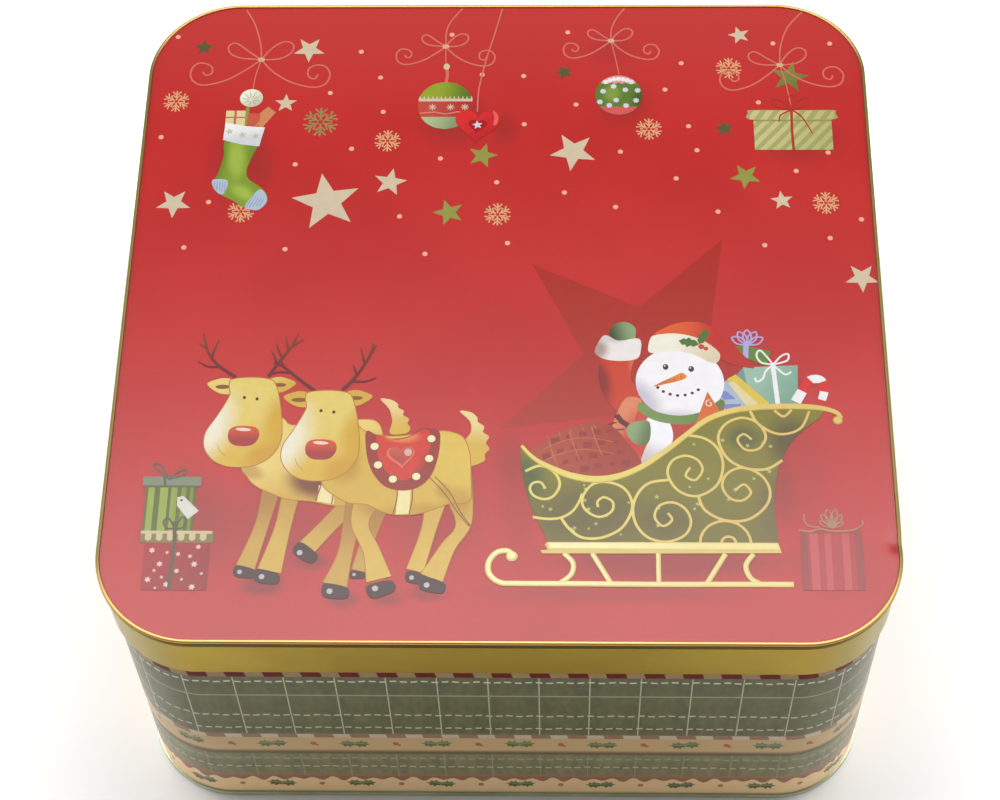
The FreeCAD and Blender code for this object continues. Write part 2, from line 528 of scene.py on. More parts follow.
def bent(corners):
    """A profile's (half width, height) points, its corners rounded by their third number."""
    points = []
    count = len(corners)
    for i, (x, z, radius) in enumerate(corners):
        here = Vector((x, z))
        if radius == 0:
            points.append(tuple(here))
            continue
        before = (Vector(corners[i - 1][:2]) - here).normalized()
        after = (Vector(corners[(i + 1) % count][:2]) - here).normalized()
        half = before.angle(after) / 2
        centre = here + (before + after).normalized() * radius / math.sin(half)
        start = here + before * radius / math.tan(half) - centre
        end = here + after * radius / math.tan(half) - centre
        swing = start.angle_signed(end)
        for k in range(BEND_STEPS + 1):
            a = -swing * k / BEND_STEPS
            c, s = math.cos(a), math.sin(a)
            points.append((centre.x + start.x * c - start.y * s,
                           centre.y + start.x * s + start.y * c))
    return [point for i, point in enumerate(points)
            if math.dist(point, points[i - 1]) > SAME_POINT]


def dented(point):
    """Lid points near the knock are pushed in, most at its middle."""
    away = (point - DENT_AT).length / DENT_REACH
    if away >= 1:
        return point
    return point + DENT_PUSH * (1 - away * away) ** 2


def make_piece(name, points, faces, materials, slots, body, spots, replaced=None):
    """A mesh object from points in millimetres, riding on its body. slots are the faces'
    materials, and spots are the points' places on the flat print, also in millimetres."""
    mesh = bpy.data.meshes.new(name)
    mesh.from_pydata([tuple(Vector(p) * MM) for p in points], [], faces)
    for material in materials:
        mesh.materials.append(material)
    mesh.polygons.foreach_set("material_index", slots)
    uv = mesh.uv_layers.new(name="print")
    for loop in mesh.loops:
        uv.data[loop.index].uv = Vector(spots[loop.vertex_index]) * MM
    made = bpy.data.objects.new(name, mesh)
    bpy.context.scene.collection.objects.link(made)
    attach(made, body)
    if replaced:
        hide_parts(replaced)
    return made


def sweep(name, profile, materials, choose, body, replaced, shape=None, capped=False):
    """A sheet carried round the rounded square. choose gives each profile span's material
    from the span's middle. A capped profile is open, and its two end loops are closed flat."""
    stations = columns()
    count, rows = len(stations), len(profile)
    points, faces, slots = [], [], []
    for base, out in stations:
        for half, z in profile:
            point = base + out * (half - CORNER_AXIS) + Vector((0, 0, z))
            points.append(shape(point) if shape else point)
    spans = rows - 1 if capped else rows
    for i in range(count):
        following = (i + 1) % count
        for j in range(spans):
            k = (j + 1) % rows
            faces.append((i * rows + j, i * rows + k, following * rows + k, following * rows + j))
            middle = (Vector(profile[j]) + Vector(profile[k])) / 2
            slots.append(choose(middle.x, middle.y))
    if capped:
        for j, step in ((0, 1), (rows - 1, -1)):
            faces.append([i * rows + j for i in range(count)][::step])
            slots.append(choose(*profile[j]))
    spots = [point.xy for point in points]
    made = make_piece(name, points, faces, materials, slots, body, spots, replaced)
    made.data.polygons.foreach_set("use_smooth", [True] * len(faces))
    made.data.set_sharp_from_angle(angle=math.radians(SHARP_ANGLE))


def lid_sheets():
    """The lid's red top sheet and the gold ring that clamps it."""
    skirt_out = BEAD_HALF - BEAD_OVERHANG
    skirt_in = skirt_out - SHEET
    hem_in = skirt_in - SHEET
    bead_in = BEAD_HALF - BEAD_WIDTH
    bead_foot = LID_TOP - BEAD_DEPTH
    hem_top = SKIRT_FOOT + HEM_DEPTH
    ring = bent([
        (skirt_out, SKIRT_FOOT, HEM_ROUND),
        (skirt_out, bead_foot, SMALL_ROUND),
        (BEAD_HALF, bead_foot, BEAD_ROUND),
        (BEAD_HALF, LID_TOP, BEAD_ROUND),
        (bead_in, LID_TOP, BEAD_LIP),
        (bead_in, PANEL_TOP, 0),
        (PANEL_HALF, PANEL_TOP, 0),
        (PANEL_HALF, PANEL_UNDER, 0),
        (skirt_in, PANEL_UNDER, 0),
        (skirt_in, hem_top, 0),
        (hem_in, hem_top, SMALL_ROUND),
        (hem_in, SKIRT_FOOT, HEM_ROUND),
    ])
    sweep("lid_ring", ring, [GOLD], lambda x, z: 0, "lid",
          "lid_skirt_ring", dented)
    halves = (*PANEL_LOOPS, PANEL_HALF)
    panel = [(half, PANEL_UNDER) for half in halves]
    panel.extend((half, PANEL_TOP) for half in halves[::-1])
    middle = (PANEL_TOP + PANEL_UNDER) / 2
    sweep("lid_panel", panel, [LID_INSIDE, LID_RED], lambda x, z: int(z > middle), "lid",
          "lid_top_panel", dented, capped=True)


def tin_wall():
    """The tin's wall with its rim rolled inwards."""
    roll_in = WALL_OUT - 2 * RIM_RADIUS
    tail = roll_in + RIM_RADIUS + RIM_TAIL
    inner = RIM_RADIUS - SHEET
    wall = bent([
        (WALL_OUT, WALL_FOOT, 0),
        (WALL_OUT, RIM_TOP, RIM_RADIUS),
        (roll_in, RIM_TOP, RIM_RADIUS),
        (roll_in, ROLL_FOOT, RIM_RADIUS),
        (tail, ROLL_FOOT, 0),
        (tail, ROLL_FOOT + SHEET, 0),
        (roll_in + SHEET, ROLL_FOOT + SHEET, inner),
        (roll_in + SHEET, RIM_TOP - SHEET, inner),
        (WALL_IN, RIM_TOP - SHEET, inner),
        (WALL_IN, WALL_FOOT, 0),
    ])
    sweep("tin_wall", wall, [TIN_INSIDE], lambda x, z: 0, "tin", "body_wall")


def tin_seam():
    """The flap of the wall's side seam, inside the back."""
    low, high = BASE_TOP + SHEET, ROLL_FOOT - SHEET
    half, seam_in = SEAM_WIDTH / 2, WALL_IN - SHEET
    across = [(-half, WALL_IN + SEAM_EDGE), (-half, seam_in + SEAM_EDGE),
              (-half + SEAM_EDGE, seam_in), (half - SEAM_EDGE, seam_in),
              (half, seam_in + SEAM_EDGE), (half, WALL_IN + SEAM_EDGE)]
    count = len(across)
    flap = [(x, y, z) for z in (low, high) for x, y in across]
    faces = [tuple(range(count))[::-1], tuple(range(count, 2 * count))]
    for i in range(count):
        k = (i + 1) % count
        faces.append((i, k, k + count, i + count))
    make_piece("tin_seam", flap, faces, [TIN_INSIDE], [0] * len(faces), "tin",
               [(x, z) for x, _, z in flap])


def tin_base():
    """The base, with the bead that clamps the wall's foot and a pressed-down middle."""
    bead_in = WALL_IN - BASE_BEAD_LIP
    under = BASE_LIFT - SHEET
    base = bent([
        (STEP_HALF, under - STEP_DEPTH, 0),
        (STEP_HALF + STEP_SLOPE, under, 0),
        (bead_in, under, 0),
        (bead_in, 0, BASE_ROUND),
        (BASE_OUT, 0, BASE_ROUND),
        (BASE_OUT, BASE_TOP, BASE_ROUND),
        (WALL_OUT, BASE_TOP, 0),
        (WALL_OUT, WALL_FOOT, 0),
        (WALL_IN, WALL_FOOT, 0),
        (WALL_IN, BASE_TOP, 0),
        (bead_in, BASE_TOP, BASE_ROUND),
        (bead_in, BASE_LIFT, 0),
        (STEP_HALF + STEP_SLOPE, BASE_LIFT, 0),
        (STEP_HALF, BASE_LIFT - STEP_DEPTH, 0),
    ])
    sweep("tin_base", base, [BASE_GOLD], lambda x, z: 0, "tin", "base_panel",
          capped=True)


# ---------------------------------------------------------------- printed films

FILM = 0.02                 # thickness of the lowest film, and of each level over it
SINK = 0.01                 # how far a film's underside is sunk into its sheet
MERGE = 0.0005              # points of one film nearer than this become one


def lid_place(x, y, proud):
    """A point of the lid's print, at a height above the panel."""
    return Vector((x, y, PANEL_TOP + proud))


def wall_place(around, z, proud):
    """A point of the wall's print, at a distance round the tin from the front's middle to the
    right, and at a height above the sheet."""
    side = round(around / QUARTER)
    along = around - side * QUARTER
    half = CORNER_AXIS
    spill = max(abs(along) - half, 0)
    angle = math.copysign(spill / CORNER_RADIUS, along)
    reach = CORNER_RADIUS + proud
    x = max(-half, min(half, along)) + reach * math.sin(angle)
    y = -half - reach * math.cos(angle)
    [(x, y)] = moved([(x, y)], 0, 0, turn=90 * side)
    return Vector((x, y, z))


def film(name, art, body, place, level=0, inside=None, cuts=()):
    """One thin closed piece from a Print. Each spot shows the last shape painted there.
    place puts its points on a sheet, inside limits it to an outline, and cuts are lines that
    its facets must not cross."""
    shapes = list(art.shapes)
    if inside:
        shapes.insert(0, (None, inside))
    corners, loops, edges = [], [], []
    for _, outline in shapes:
        area = 0
        for (x0, y0), (x1, y1) in zip(outline, outline[1:] + outline[:1]):
            area += x0 * y1 - x1 * y0
        ordered = outline if area > 0 else outline[::-1]
        loops.append(list(range(len(corners), len(corners) + len(ordered))))
        corners.extend(Vector(p) for p in ordered)
    for start, end in cuts:
        edges.append((len(corners), len(corners) + 1))
        corners.extend((Vector(start), Vector(end)))
    flat, _, triangles, _, _, owners = delaunay_2d_cdt(corners, edges, loops, 0, MERGE)
    inks, tops, slots = [], [], []
    for triangle, owner in zip(triangles, owners):
        shade = shapes[max(owner)][0] if owner else None
        if shade is None or (inside and 0 not in owner):
            continue
        if shade not in inks:
            inks.append(shade)
        tops.append(tuple(triangle))
        slots.append(inks.index(shade))
    used = sorted({v for face in tops for v in face})
    renumber = {v: i for i, v in enumerate(used)}
    tops = [tuple(renumber[v] for v in face) for face in tops]
    count = len(used)
    high = FILM * (level + 1)
    points = [place(*flat[v], height) for height in (high, -SINK) for v in used]
    faces = tops + [tuple(v + count for v in face[::-1]) for face in tops]
    sides = {}
    for face, shade in zip(tops, slots):
        for a, b in zip(face, face[1:] + face[:1]):
            sides[a, b] = shade
    slots = slots * 2
    for (a, b), shade in sides.items():
        if (b, a) not in sides:
            faces.append((b, a, a + count, b + count))
            slots.append(shade)
    make_piece(name, points, faces, [INKS[shade] for shade in inks], slots, body,
               [flat[v] for v in used] * 2)


# ---------------------------------------------------------------- wall print

ROUND = 4 * QUARTER
PRINT_FOOT = BASE_TOP + 0.1     # just clear of the base's bead
PRINT_TOP = 87.0            # the candy stripes' upper edge, under the lid
STRIPE_COUNT = 78           # round the whole tin
STRIPE_PART = 0.53          # share of the candy stripes that is red
STRIPE_LEAN = 0.6 / 3.5     # sideways shift per millimetre downwards
STRIPE_ROWS = (             # bottom, top, white, red, shift round the tin
    # the upper row's inks carry painted shade from the lid
    (78.8, PRINT_TOP, "candy_white_in_shade", "candy_red_in_shade", -2.8),
    (40.1, 42.4, "candy_faded", "candy_dull", -1.8))
DASH_COUNT = 284
DASH_SIZE = (1.7, 0.75)
DASH_ROWS = (               # ink, height
    ("dash_bright", 76.0), ("dash", 55.0), ("dash", 46.8), ("dash_faint", 26.0), ("dash", 20.3))
CHECK_COUNT = 58            # thin upright lines of the plaid
CHECK_SHIFT = -2.7
CHECK_ROWS = (("thread", 0.17, 42.7, 78.5), ("thread_faint", 0.14, 13, 29))    # half width, span
THREAD_ROW = (67.1, 67.8)   # the plaid's one level line
FRINGE_TOP = 13.6
SCALLOP_COUNT = 136
SCALLOP_POINTS = 6          # points along each scallop
HOLLY_COUNT = 34
HOLLY_SHIFT = 4.8
HOLLY_ROWS = ((36.1, 4.3, 0), (8.0, 4.2, 100))     # height, size, first seed
BERRIES = (                 # ink, place between two hollies, height, half sizes, turn, corners
    ("berry", 0, 36.1, 0.85, 1.1, 10, 12), ("berry", 0.9, 35.2, 0.5, 0.6, 0, 8),
    ("berry_faint", 0, 7.8, 0.8, 1.1, -8, 12))
CLEAR_OF_END = 0.1          # a corner's cut nearer than this to a film's end is left out


def spaced(count, low, high, shift=0.0):
    """Places of a feature repeated count times round the tin, near the stretch low..high."""
    step = ROUND / count
    first = math.floor((low - shift) / step) - 1
    last = math.ceil((high - shift) / step) + 1
    return [shift + step * i for i in range(first, last + 1)]


def holly(art, x, z, size, seed):
    """Two spiked leaves with a vein in each; size is half the width of the pair."""
    leaf = [(-0.1, -0.05), (0.08, 0.3), (0.28, 0.34), (0.38, 0.6), (0.52, 0.34), (0.74, 0.46),
            (0.78, 0.16), (1.02, 0.04), (0.76, -0.14), (0.72, -0.46), (0.5, -0.32),
            (0.34, -0.58), (0.24, -0.32), (0.04, -0.3)]
    half = [(0, 0), (0.1, -0.26), (0.26, -0.28), (0.35, -0.5), (0.5, -0.28), (0.7, -0.4),
            (0.72, -0.12), (0.92, 0.04)]
    vein = [(0, 0), (0.5, 0.04), (0.9, 0.05)]
    pick = random.Random(seed)
    for side in (-1, 1):
        place = (x, z, size, side * pick.uniform(-12, 14), side < 0)
        art.fill("holly", moved(leaf, *place))
        art.fill("holly_dark", moved(half, *place))
        art.line("holly_vein", moved(vein, *place), 0.3, 0.15)


def draw_wall(art, low, high):
    """The wall's printing between two places round the tin."""
    art.fill("wall_ground", box(low, PRINT_FOOT, high, PRINT_TOP))
    red = ROUND / STRIPE_COUNT * STRIPE_PART
    for bottom, top, white, strip, shift in STRIPE_ROWS:
        lean = (top - bottom) * STRIPE_LEAN
        art.fill(white, box(low, bottom, high, top))
        for x in spaced(STRIPE_COUNT, low, high, shift):
            art.fill(strip, [(x + lean, bottom), (x + lean + red, bottom),
                             (x + red, top), (x, top)])
    for x in spaced(CHECK_COUNT, low, high, CHECK_SHIFT):
        for shade, half, bottom, top in CHECK_ROWS:
            art.fill(shade, box(x - half, bottom, x + half, top))
    bottom, top = THREAD_ROW
    art.fill("thread_faint", box(low, bottom, high, top))
    wide, tall = DASH_SIZE
    for shade, z in DASH_ROWS:
        for x in spaced(DASH_COUNT, low, high, z):
            rise = z + 0.25 * math.sin(x * 0.9) + 0.15 * math.sin(x * 2.3)
            tilt = 0.12 * math.cos(x * 0.9)
            corners = [(-wide / 2, -tall / 2 - tilt), (wide / 2, -tall / 2 + tilt),
                       (wide / 2, tall / 2 + tilt), (-wide / 2, tall / 2 - tilt)]
            art.fill(shade, moved(corners, x, rise))
    fringe = [(high, FRINGE_TOP), (low, FRINGE_TOP)]
    for x in spaced(SCALLOP_COUNT * SCALLOP_POINTS, low, high):
        if low < x < high:
            wave = math.cos(2 * math.pi * SCALLOP_COUNT * x / ROUND)
            fringe.append((x, 11.5 - 1.1 * wave - 0.5 * math.sin(x * 0.83)))
    art.fill("fringe", fringe)
    for i, x in enumerate(spaced(HOLLY_COUNT, low, high, HOLLY_SHIFT)):
        for z, size, seed in HOLLY_ROWS:
            holly(art, x, z, size, seed + i)
        between = x + ROUND / HOLLY_COUNT / 2
        for shade, along, *berry in BERRIES:
            art.fill(shade, ellipse(between + along, *berry))


def wall_films():
    """The wall's print, in five films: they meet halfway round each corner and at the seam."""
    ends = [-ROUND / 2 + SEAM_GAP / 2, -1.5 * QUARTER, -0.5 * QUARTER, 0.5 * QUARTER,
            1.5 * QUARTER, ROUND / 2 - SEAM_GAP / 2]
    names = ("back_right", "left", "front", "right", "back_left")
    for name, low, high in zip(names, ends, ends[1:]):
        cuts = []
        for side in range(-2, 3):
            for i in range(1, CORNER_STEPS):
                x = side * QUARTER + CORNER_AXIS + CORNER_LENGTH * i / CORNER_STEPS
                if low + CLEAR_OF_END < x < high - CLEAR_OF_END:
                    cuts.append(((x, PRINT_FOOT), (x, PRINT_TOP)))
        art = Print()
        draw_wall(art, low, high)
        film("wall_print_" + name, art, "tin", wall_place,
             inside=box(low, PRINT_FOOT, high, PRINT_TOP), cuts=cuts)


# The lower beige and plaid are painted lighter than the upper ones: painted light that makes up for
# the dimmer light near the foot.
WALL_COLOURS = (            # height and colour, softly joined from one to the next
    (2, (196, 186, 128)), (3.4, (240, 202, 150)), (12.5, (236, 200, 150)),
    (13.4, (160, 116, 88)), (14.4, (148, 118, 86)), (16.4, (126, 122, 86)),
    (28.6, (126, 124, 90)), (30, (92, 76, 44)), (31.2, (146, 120, 80)),
    (32.2, (194, 162, 116)), (42.4, (186, 156, 110)), (42.5, (116, 96, 68)),
    (43.8, (98, 97, 61)), (70, (95, 94, 57)), (78.6, (88, 88, 54)))
RAMP_TOP = 100              # height at the colour ramp's end
PLAID_PITCH = 12.5          # height of one check of the plaid


def wall_ground():
    """The wall's background: two strips of green plaid and two of beige, softly edged."""
    made = Nodes("wall_ground")
    place = made.place()
    split = made.add("SeparateXYZ", {0: place})
    along, height = split.outputs[0], split.outputs[1]
    share = made.add("MapRange", {"Value": height, "From Min": 0, "From Max": RAMP_TOP})
    bands = made.add("ValToRGB", {0: share.outputs[0]})
    ramp = bands.color_ramp
    ramp.elements[0].position = WALL_COLOURS[0][0] / RAMP_TOP
    ramp.elements[0].color = rgb(*WALL_COLOURS[0][1])
    ramp.elements[1].position = WALL_COLOURS[-1][0] / RAMP_TOP
    ramp.elements[1].color = rgb(*WALL_COLOURS[-1][1])
    for at, shade in WALL_COLOURS[1:-1]:
        ramp.elements.new(at / RAMP_TOP).color = rgb(*shade)
    wave = made.maths("MULTIPLY", along, 2 * math.pi * CHECK_COUNT / ROUND)
    upright = made.maths("SINE", wave)
    level = made.maths("MULTIPLY", height, 2 * math.pi / PLAID_PITCH)
    flat = made.maths("SINE", level)
    checks = made.maths("MULTIPLY", made.ranged(upright, -0.6, 0.6, 0.93, 1.03),
                        made.ranged(flat, -0.6, 0.6, 0.95, 1.03))
    weave = made.ranged(made.noise(place, 0.45, 3, (1.2, 0.4, 1)), 0.3, 0.7, 0.86, 1.1)
    cloth = made.maths("MULTIPLY", checks, weave)
    low_plaid = made.maths("MULTIPLY", made.ranged(height, 14, 16),
                           made.ranged(height, 29, 30, 1, 0))
    in_plaid = made.maths("ADD", made.ranged(height, 42, 43), low_plaid)
    tone = made.add("Mix", {0: in_plaid, 2: 1.0, 3: cloth}).outputs[0]
    made.colour(made.mix(1.0, bands.outputs[0], tone, "MULTIPLY"))
    INKS["wall_ground"] = made.finish(INK_ROUGHNESS, specular=WALL_GLOSS)


# ---------------------------------------------------------------- lid print: sky

def snowflake(art, shade, x, y, radius):
    """Six spokes with two pairs of twigs on each."""
    for i in range(6):
        spoke = [(0, 0.12), (0, 0.5), (0, 0.98)]
        art.line(shade, moved(spoke, x, y, radius, 60 * i), radius * 0.12)
        for inner, reach in ((0.3, 0.27), (0.56, 0.32)):
            twig = [(-reach, inner + reach * 1.1), (0, inner), (reach, inner + reach * 1.1)]
            art.line(shade, moved(twig, x, y, radius, 60 * i), radius * 0.12)


def draw_scatter(art):
    """Stars, snowflakes and snow strewn over the lid."""
    for x, y, radius, turn in (
            (-55.5, 84, 4.6, 36), (-61, 65, 3.2, 0), (-48, 31.5, 9.6, 10), (-31, 38, 4.7, -10),
            (-89.5, 31, 4.9, 36), (18.8, 48.3, 6.6, 29), (65.5, 89, 3.2, 15), (75, 32, 3.2, 6),
            (95, 7, 4.7, 36)):
        art.fill("cream", star(x, y, radius, turn))
    for x, y, radius, turn in ((-85.3, 84.8, 2.6, 0), (16.2, 75.8, 2.5, 20), (60.3, 56.2, 2.6, 8)):
        art.fill("dark_star", star(x, y, radius, turn, 0.5))
    for x, y, radius, turn in ((-14.8, 28, 4.4, 18), (-6, 47, 4.3, -15), (65.5, 40, 4.4, 30)):
        art.fill("olive", star(x, y, radius, turn))
    for x, y in ((-91.6, 65.7), (-32.2, 52), (-71, 28.3), (-1.6, 27.4), (39.6, 56), (62.2, 77.2),
                 (86.8, 31.2)):
        snowflake(art, "flake", x, y, 3.7)
    snowflake(art, "flake_olive", -51, 58.5, 5.0)
    for x, y in (
            (-93, 88.6), (-40.8, 83.2), (-35, 74), (-33.8, 62), (-48.8, 68.6), (-94.8, 53.3),
            (-80, 31.4), (-57.2, 44), (-42, 49.3), (-17.5, 46), (-28, 26.7), (-85.5, 16.5),
            (-58.3, 16), (-20.8, 14.5), (-15.4, 89.3), (-6.6, 75), (-2, 38), (1.2, 18),
            (5, 74.5), (5.3, 57.7), (17.3, 90.1), (19.6, 64.5), (31.7, 48.3), (44.3, 69.7),
            (49, 79), (50.5, 57), (52.6, 48.8), (46.7, 39.3), (16.4, 34.6), (30.2, 29.8),
            (57.7, 28.3), (69.8, 17.4), (70, 65.2), (74.9, 86), (90.8, 85.9), (79.3, 41.8),
            (96, 25.8), (87.3, 19.7), (88.3, 48)):
        art.fill("snow_dot", ellipse(x, y, 0.72, count=12))


def draw_ribbon(art, x, y, size, turn, string, hang):
    """A thin bow with curled tails, the string it is tied on and the end that hangs from it."""
    left = [(0, 0), (-.17, .13), (-.36, .29), (-.46, .28), (-.49, .2), (-.44, .1), (-.3, .03),
            (-.12, .01), (0, 0)]
    right = [(0, 0), (.1, .16), (.22, .28), (.33, .33), (.43, .29), (.45, .2), (.4, .1),
             (.27, .02), (.12, 0), (0, 0)]
    left_tail = [(0, 0), (-.23, -.2), (-.5, -.38), (-.8, -.46), (-.96, -.38), (-1, -.22),
                 (-.93, -.08), (-.8, -.07), (-.7, -.14), (-.7, -.25), (-.78, -.28), (-.83, -.22)]
    right_tail = [(0, 0), (.18, -.22), (.45, -.41), (.75, -.5), (.93, -.45), (1, -.28),
                  (.93, -.13), (.8, -.1), (.69, -.17), (.69, -.3), (.78, -.35), (.83, -.27)]
    for points in (left_tail, right_tail, left, right):
        art.line("ribbon", moved(smooth(points, False, 6), x, y, size, turn), 0.5)
    art.curve("ribbon", [*string, (x, y)], 0.45, steps=8)
    art.curve("ribbon", [(x, y), *hang], 0.35, steps=8)
    art.fill("ribbon_knot", ellipse(x, y, 1.0, 0.75))


def draw_stocking(art):
    """A striped sock with a white cuff, and parcels and a pompom that stick out of it."""
    art.fill("gift_cream", box(-77.4, 57, -72, 62.4))
    art.fill("gift_cream_line", box(-75.1, 57, -74.4, 62.4))
    art.fill("gift_cream_line", box(-77.4, 59.8, -72, 60.3))
    art.fill("gift_tan", [(-70.5, 56), (-67.4, 56), (-63.6, 61.8), (-65.8, 63.8), (-68.9, 60.6)])
    art.fill("olive", box(-72, 57, -71, 63.6))
    art.fill("gift_rust", [(-71.6, 55.5), (-68.2, 55.2), (-67.8, 61.3), (-71.2, 61.6)])
    art.line("gift_tan", [(-68.9, 57), (-65.2, 62.6)], 0.5)
    art.fill("pompom", ellipse(-70.7, 66.8, 3.2, 3.1))
    for i in range(9):
        a = math.radians(20 + 40 * i)
        art.line("pompom_shade", [(-70.7 + 0.7 * math.cos(a), 66.2 + 0.7 * math.sin(a)),
                                  (-70.7 + 2.6 * math.cos(a), 66.8 + 2.6 * math.sin(a))], 0.3, 0.15)
    sock = [(-76.6, 52.5), (-77, 47), (-78, 41.5), (-79.3, 37.5), (-77.5, 34.3), (-73.5, 31.9),
            (-69.7, 29.3), (-66.5, 28.9), (-64.3, 31), (-64.4, 34), (-66.6, 36.6), (-69.6, 39),
            (-70.4, 42), (-69.4, 46), (-68.2, 52)]
    art.blob("sock", sock)
    heel = [(-79.2, 38.9), (-75.6, 38.7), (-75.3, 36.5), (-76.3, 34), (-77.9, 34.6), (-79.4, 37)]
    art.blob("sock_blue", heel)
    toe = [(-70.1, 29.9), (-68.2, 33.4), (-66.4, 35.6), (-64.9, 34.4), (-64.2, 31.6), (-66, 29),
           (-68.2, 28.8)]
    art.blob("sock_blue", toe)
    for i in range(5):
        art.line("sock_stripe", [(-78.8 + 0.7 * i, 38.4 - 0.1 * i),
                                 (-79.0 + 0.8 * i, 35.6 - 0.25 * i)], 0.22)
        art.line("sock_stripe", [(-69.7 + 0.9 * i, 29.6 + 0.1 * i),
                                 (-67.9 + 0.7 * i, 33.6 - 0.3 * i)], 0.22)
    art.fill("fur", [(-77.3, 58.3), (-77.6, 52.3), (-72.5, 50.8), (-67.5, 50.1), (-66.3, 56.6),
                     (-71.5, 57)])
    for x, y in ((-76, 55.2), (-72.3, 54), (-68.6, 53.6)):
        art.fill("cuff_star", star(x, y, 1.2, 12, 0.45))


def draw_left_bauble(art):
    """The left bauble, in three belts, and its cap."""
    x, y, rx, ry = -16.6, 64.2, 7.7, 8.2
    art.line("ribbon", [(-16.6, 78), (-16.3, 75), (-16.6, 72)], 0.9)
    art.fill("cream", ellipse(-16.6, 77.8, 0.9, 1.1, count=12))

    def belt(shade, low, high):
        """The stretch of the bauble between two heights."""
        outline = []
        for i in range(13):
            v = low + (high - low) * i / 12
            outline.append((x + rx * math.sqrt(max(0, 1 - ((v - y) / ry) ** 2)), v))
        mirrored = [(2 * x - u, v) for u, v in outline[::-1]]
        art.fill(shade, outline + mirrored)

    belt("bauble_top", 66.2, y + ry)
    belt("bauble_red", 60.2, 66.2)
    belt("bauble_low", y - ry, 60.2)
    zigzag = [(x - rx * 0.97, 65.6), (x + rx * 0.97, 65.6), (x + rx * 0.97, 66.4)]
    for i in range(12, -1, -1):
        u = x - rx * 0.93 + rx * 1.86 * i / 12
        zigzag.extend([(u + 0.3, 66.5), (u, 67.6), (u - 0.3, 66.5)])
    zigzag.append((x - rx * 0.97, 66.4))
    art.fill("bauble_white", zigzag)
    for u in (-20.2, -15.2, -11.2):
        for k in range(4):
            art.line("bauble_white", moved([(0, -1.1), (0, 1.1)], u, 63.6, 1, 45 * k), 0.24)
    thread = [(x - 7.1, 61.5), (x - 3, 61.9), (x, 61.2), (x + 3.5, 62), (x + 7, 61.4)]
    art.line("bauble_pink", thread, 0.4)


def draw_heart(art):
    """A heart on a string."""
    string = [(-1.3, 98.6), (-3.2, 90), (-5.6, 80), (-7.4, 70), (-7.7, 62)]
    art.curve("ribbon", string, 0.45, steps=6)
    art.fill("heart", heart(-7.6, 57.6, 6.3, -4))
    art.blob("heart_light", [(-3.4, 62.4), (-1.9, 60.6), (-2.2, 57.8), (-3.2, 57.4), (-3, 60)])
    art.fill("heart_dark", heart(-7.6, 57.2, 2.6, -4))
    art.fill("fur", star(-7.6, 57.4, 1.5, 8, 0.45))


def draw_right_bauble(art):
    """The right bauble, with a jagged cap, a row of pearls and small stars."""
    x, y, rx, ry = 31.4, 67.8, 6.5, 6.9
    art.fill("bauble_deep", ellipse(x, y, rx, ry, count=40))
    jagged = []
    for i in range(11):
        u = -4.7 + 9.4 * i / 10
        jagged.append((x + u, 71.7 + (0.5 if i % 2 else -0.1)))
    art.fill("pink", jagged + arc(x, y, rx * 0.99, ry * 0.99, 42, 96, 10))
    for i in range(7):
        art.fill("fur", ellipse(x - 3.6 + 1.2 * i, 73.4 - 0.12 * (i - 3) ** 2, 0.75, count=10))
    art.fill("bauble_low_red", arc(x, y, rx * 0.99, ry * 0.99, 217, 106, 12))
    for u, v in ((-4.3, 1.3), (1.9, 1.8), (-0.7, -1.8), (4.8, -1.9), (-5.2, -2.4), (-2.6, -3.6),
                 (2, -3.7), (-1.4, 3.0), (5.3, 1.6)):
        art.fill("fur", star(x + u, y + v, 0.95, 20 * u, 0.7, 7))


def draw_striped_gift(art):
    """A striped box with a lid, a ribbon and its bow."""
    body = box(68.4, 48.9, 89.8, 59.4)
    top = smooth([(67.3, 59.2), (67, 61.5), (67.7, 62.5), (79, 62.4), (90.3, 62.5), (91, 61.4),
                  (90.7, 59.3), (79, 59.1)], True, 3)
    art.fill("gift_green", body)
    for i in range(-3, 7):
        x = 66.2 + 3.5 * i
        points = clip([(x, 48.9), (x + 1.8, 48.9), (x + 10.8, 59.4), (x + 9, 59.4)], 68.4, 89.8)
        if len(points) > 2:
            art.fill("gift_pale", points)
    art.fill("gift_shadow", box(68.4, 58.6, 89.8, 59.6))
    art.fill("gift_green", top)
    for i in range(7):
        x = 66.6 + 3.6 * i
        points = clip([(x, 59.3), (x + 1.9, 59.3), (x + 3.9, 62.3), (x + 2, 62.3)], 67.4, 90.6)
        if len(points) > 2:
            art.fill("gift_pale", points)
    art.line("gift_red", [(79, 62.6), (78.8, 55), (79, 48.6)], 0.75)
    for tail in ([(79, 62.5), (76, 60.8), (75.4, 58.4)], [(79.2, 62.5), (81.8, 60), (84.4, 54.4)]):
        art.curve("gift_red", tail, 0.55, 0.35, steps=6)
    art.loops("gift_red", (79, 63), 0.4, [(76.2, 65.8), (74, 66.2), (74.4, 64)],
              [(81.6, 66.4), (83.8, 66.8), (83.3, 64.4)], [(78.2, 66.6), (79.4, 67.8), (80.2, 66)])


def draw_star(art, shade, x, y, radius, turn):
    """A star on its own."""
    art.fill(shade, star(x, y, radius, turn, 0.4))


# ---------------------------------------------------------------- lid print: figures

DEER_STEP = (20.0, -3.9)    # from the far deer to the near one


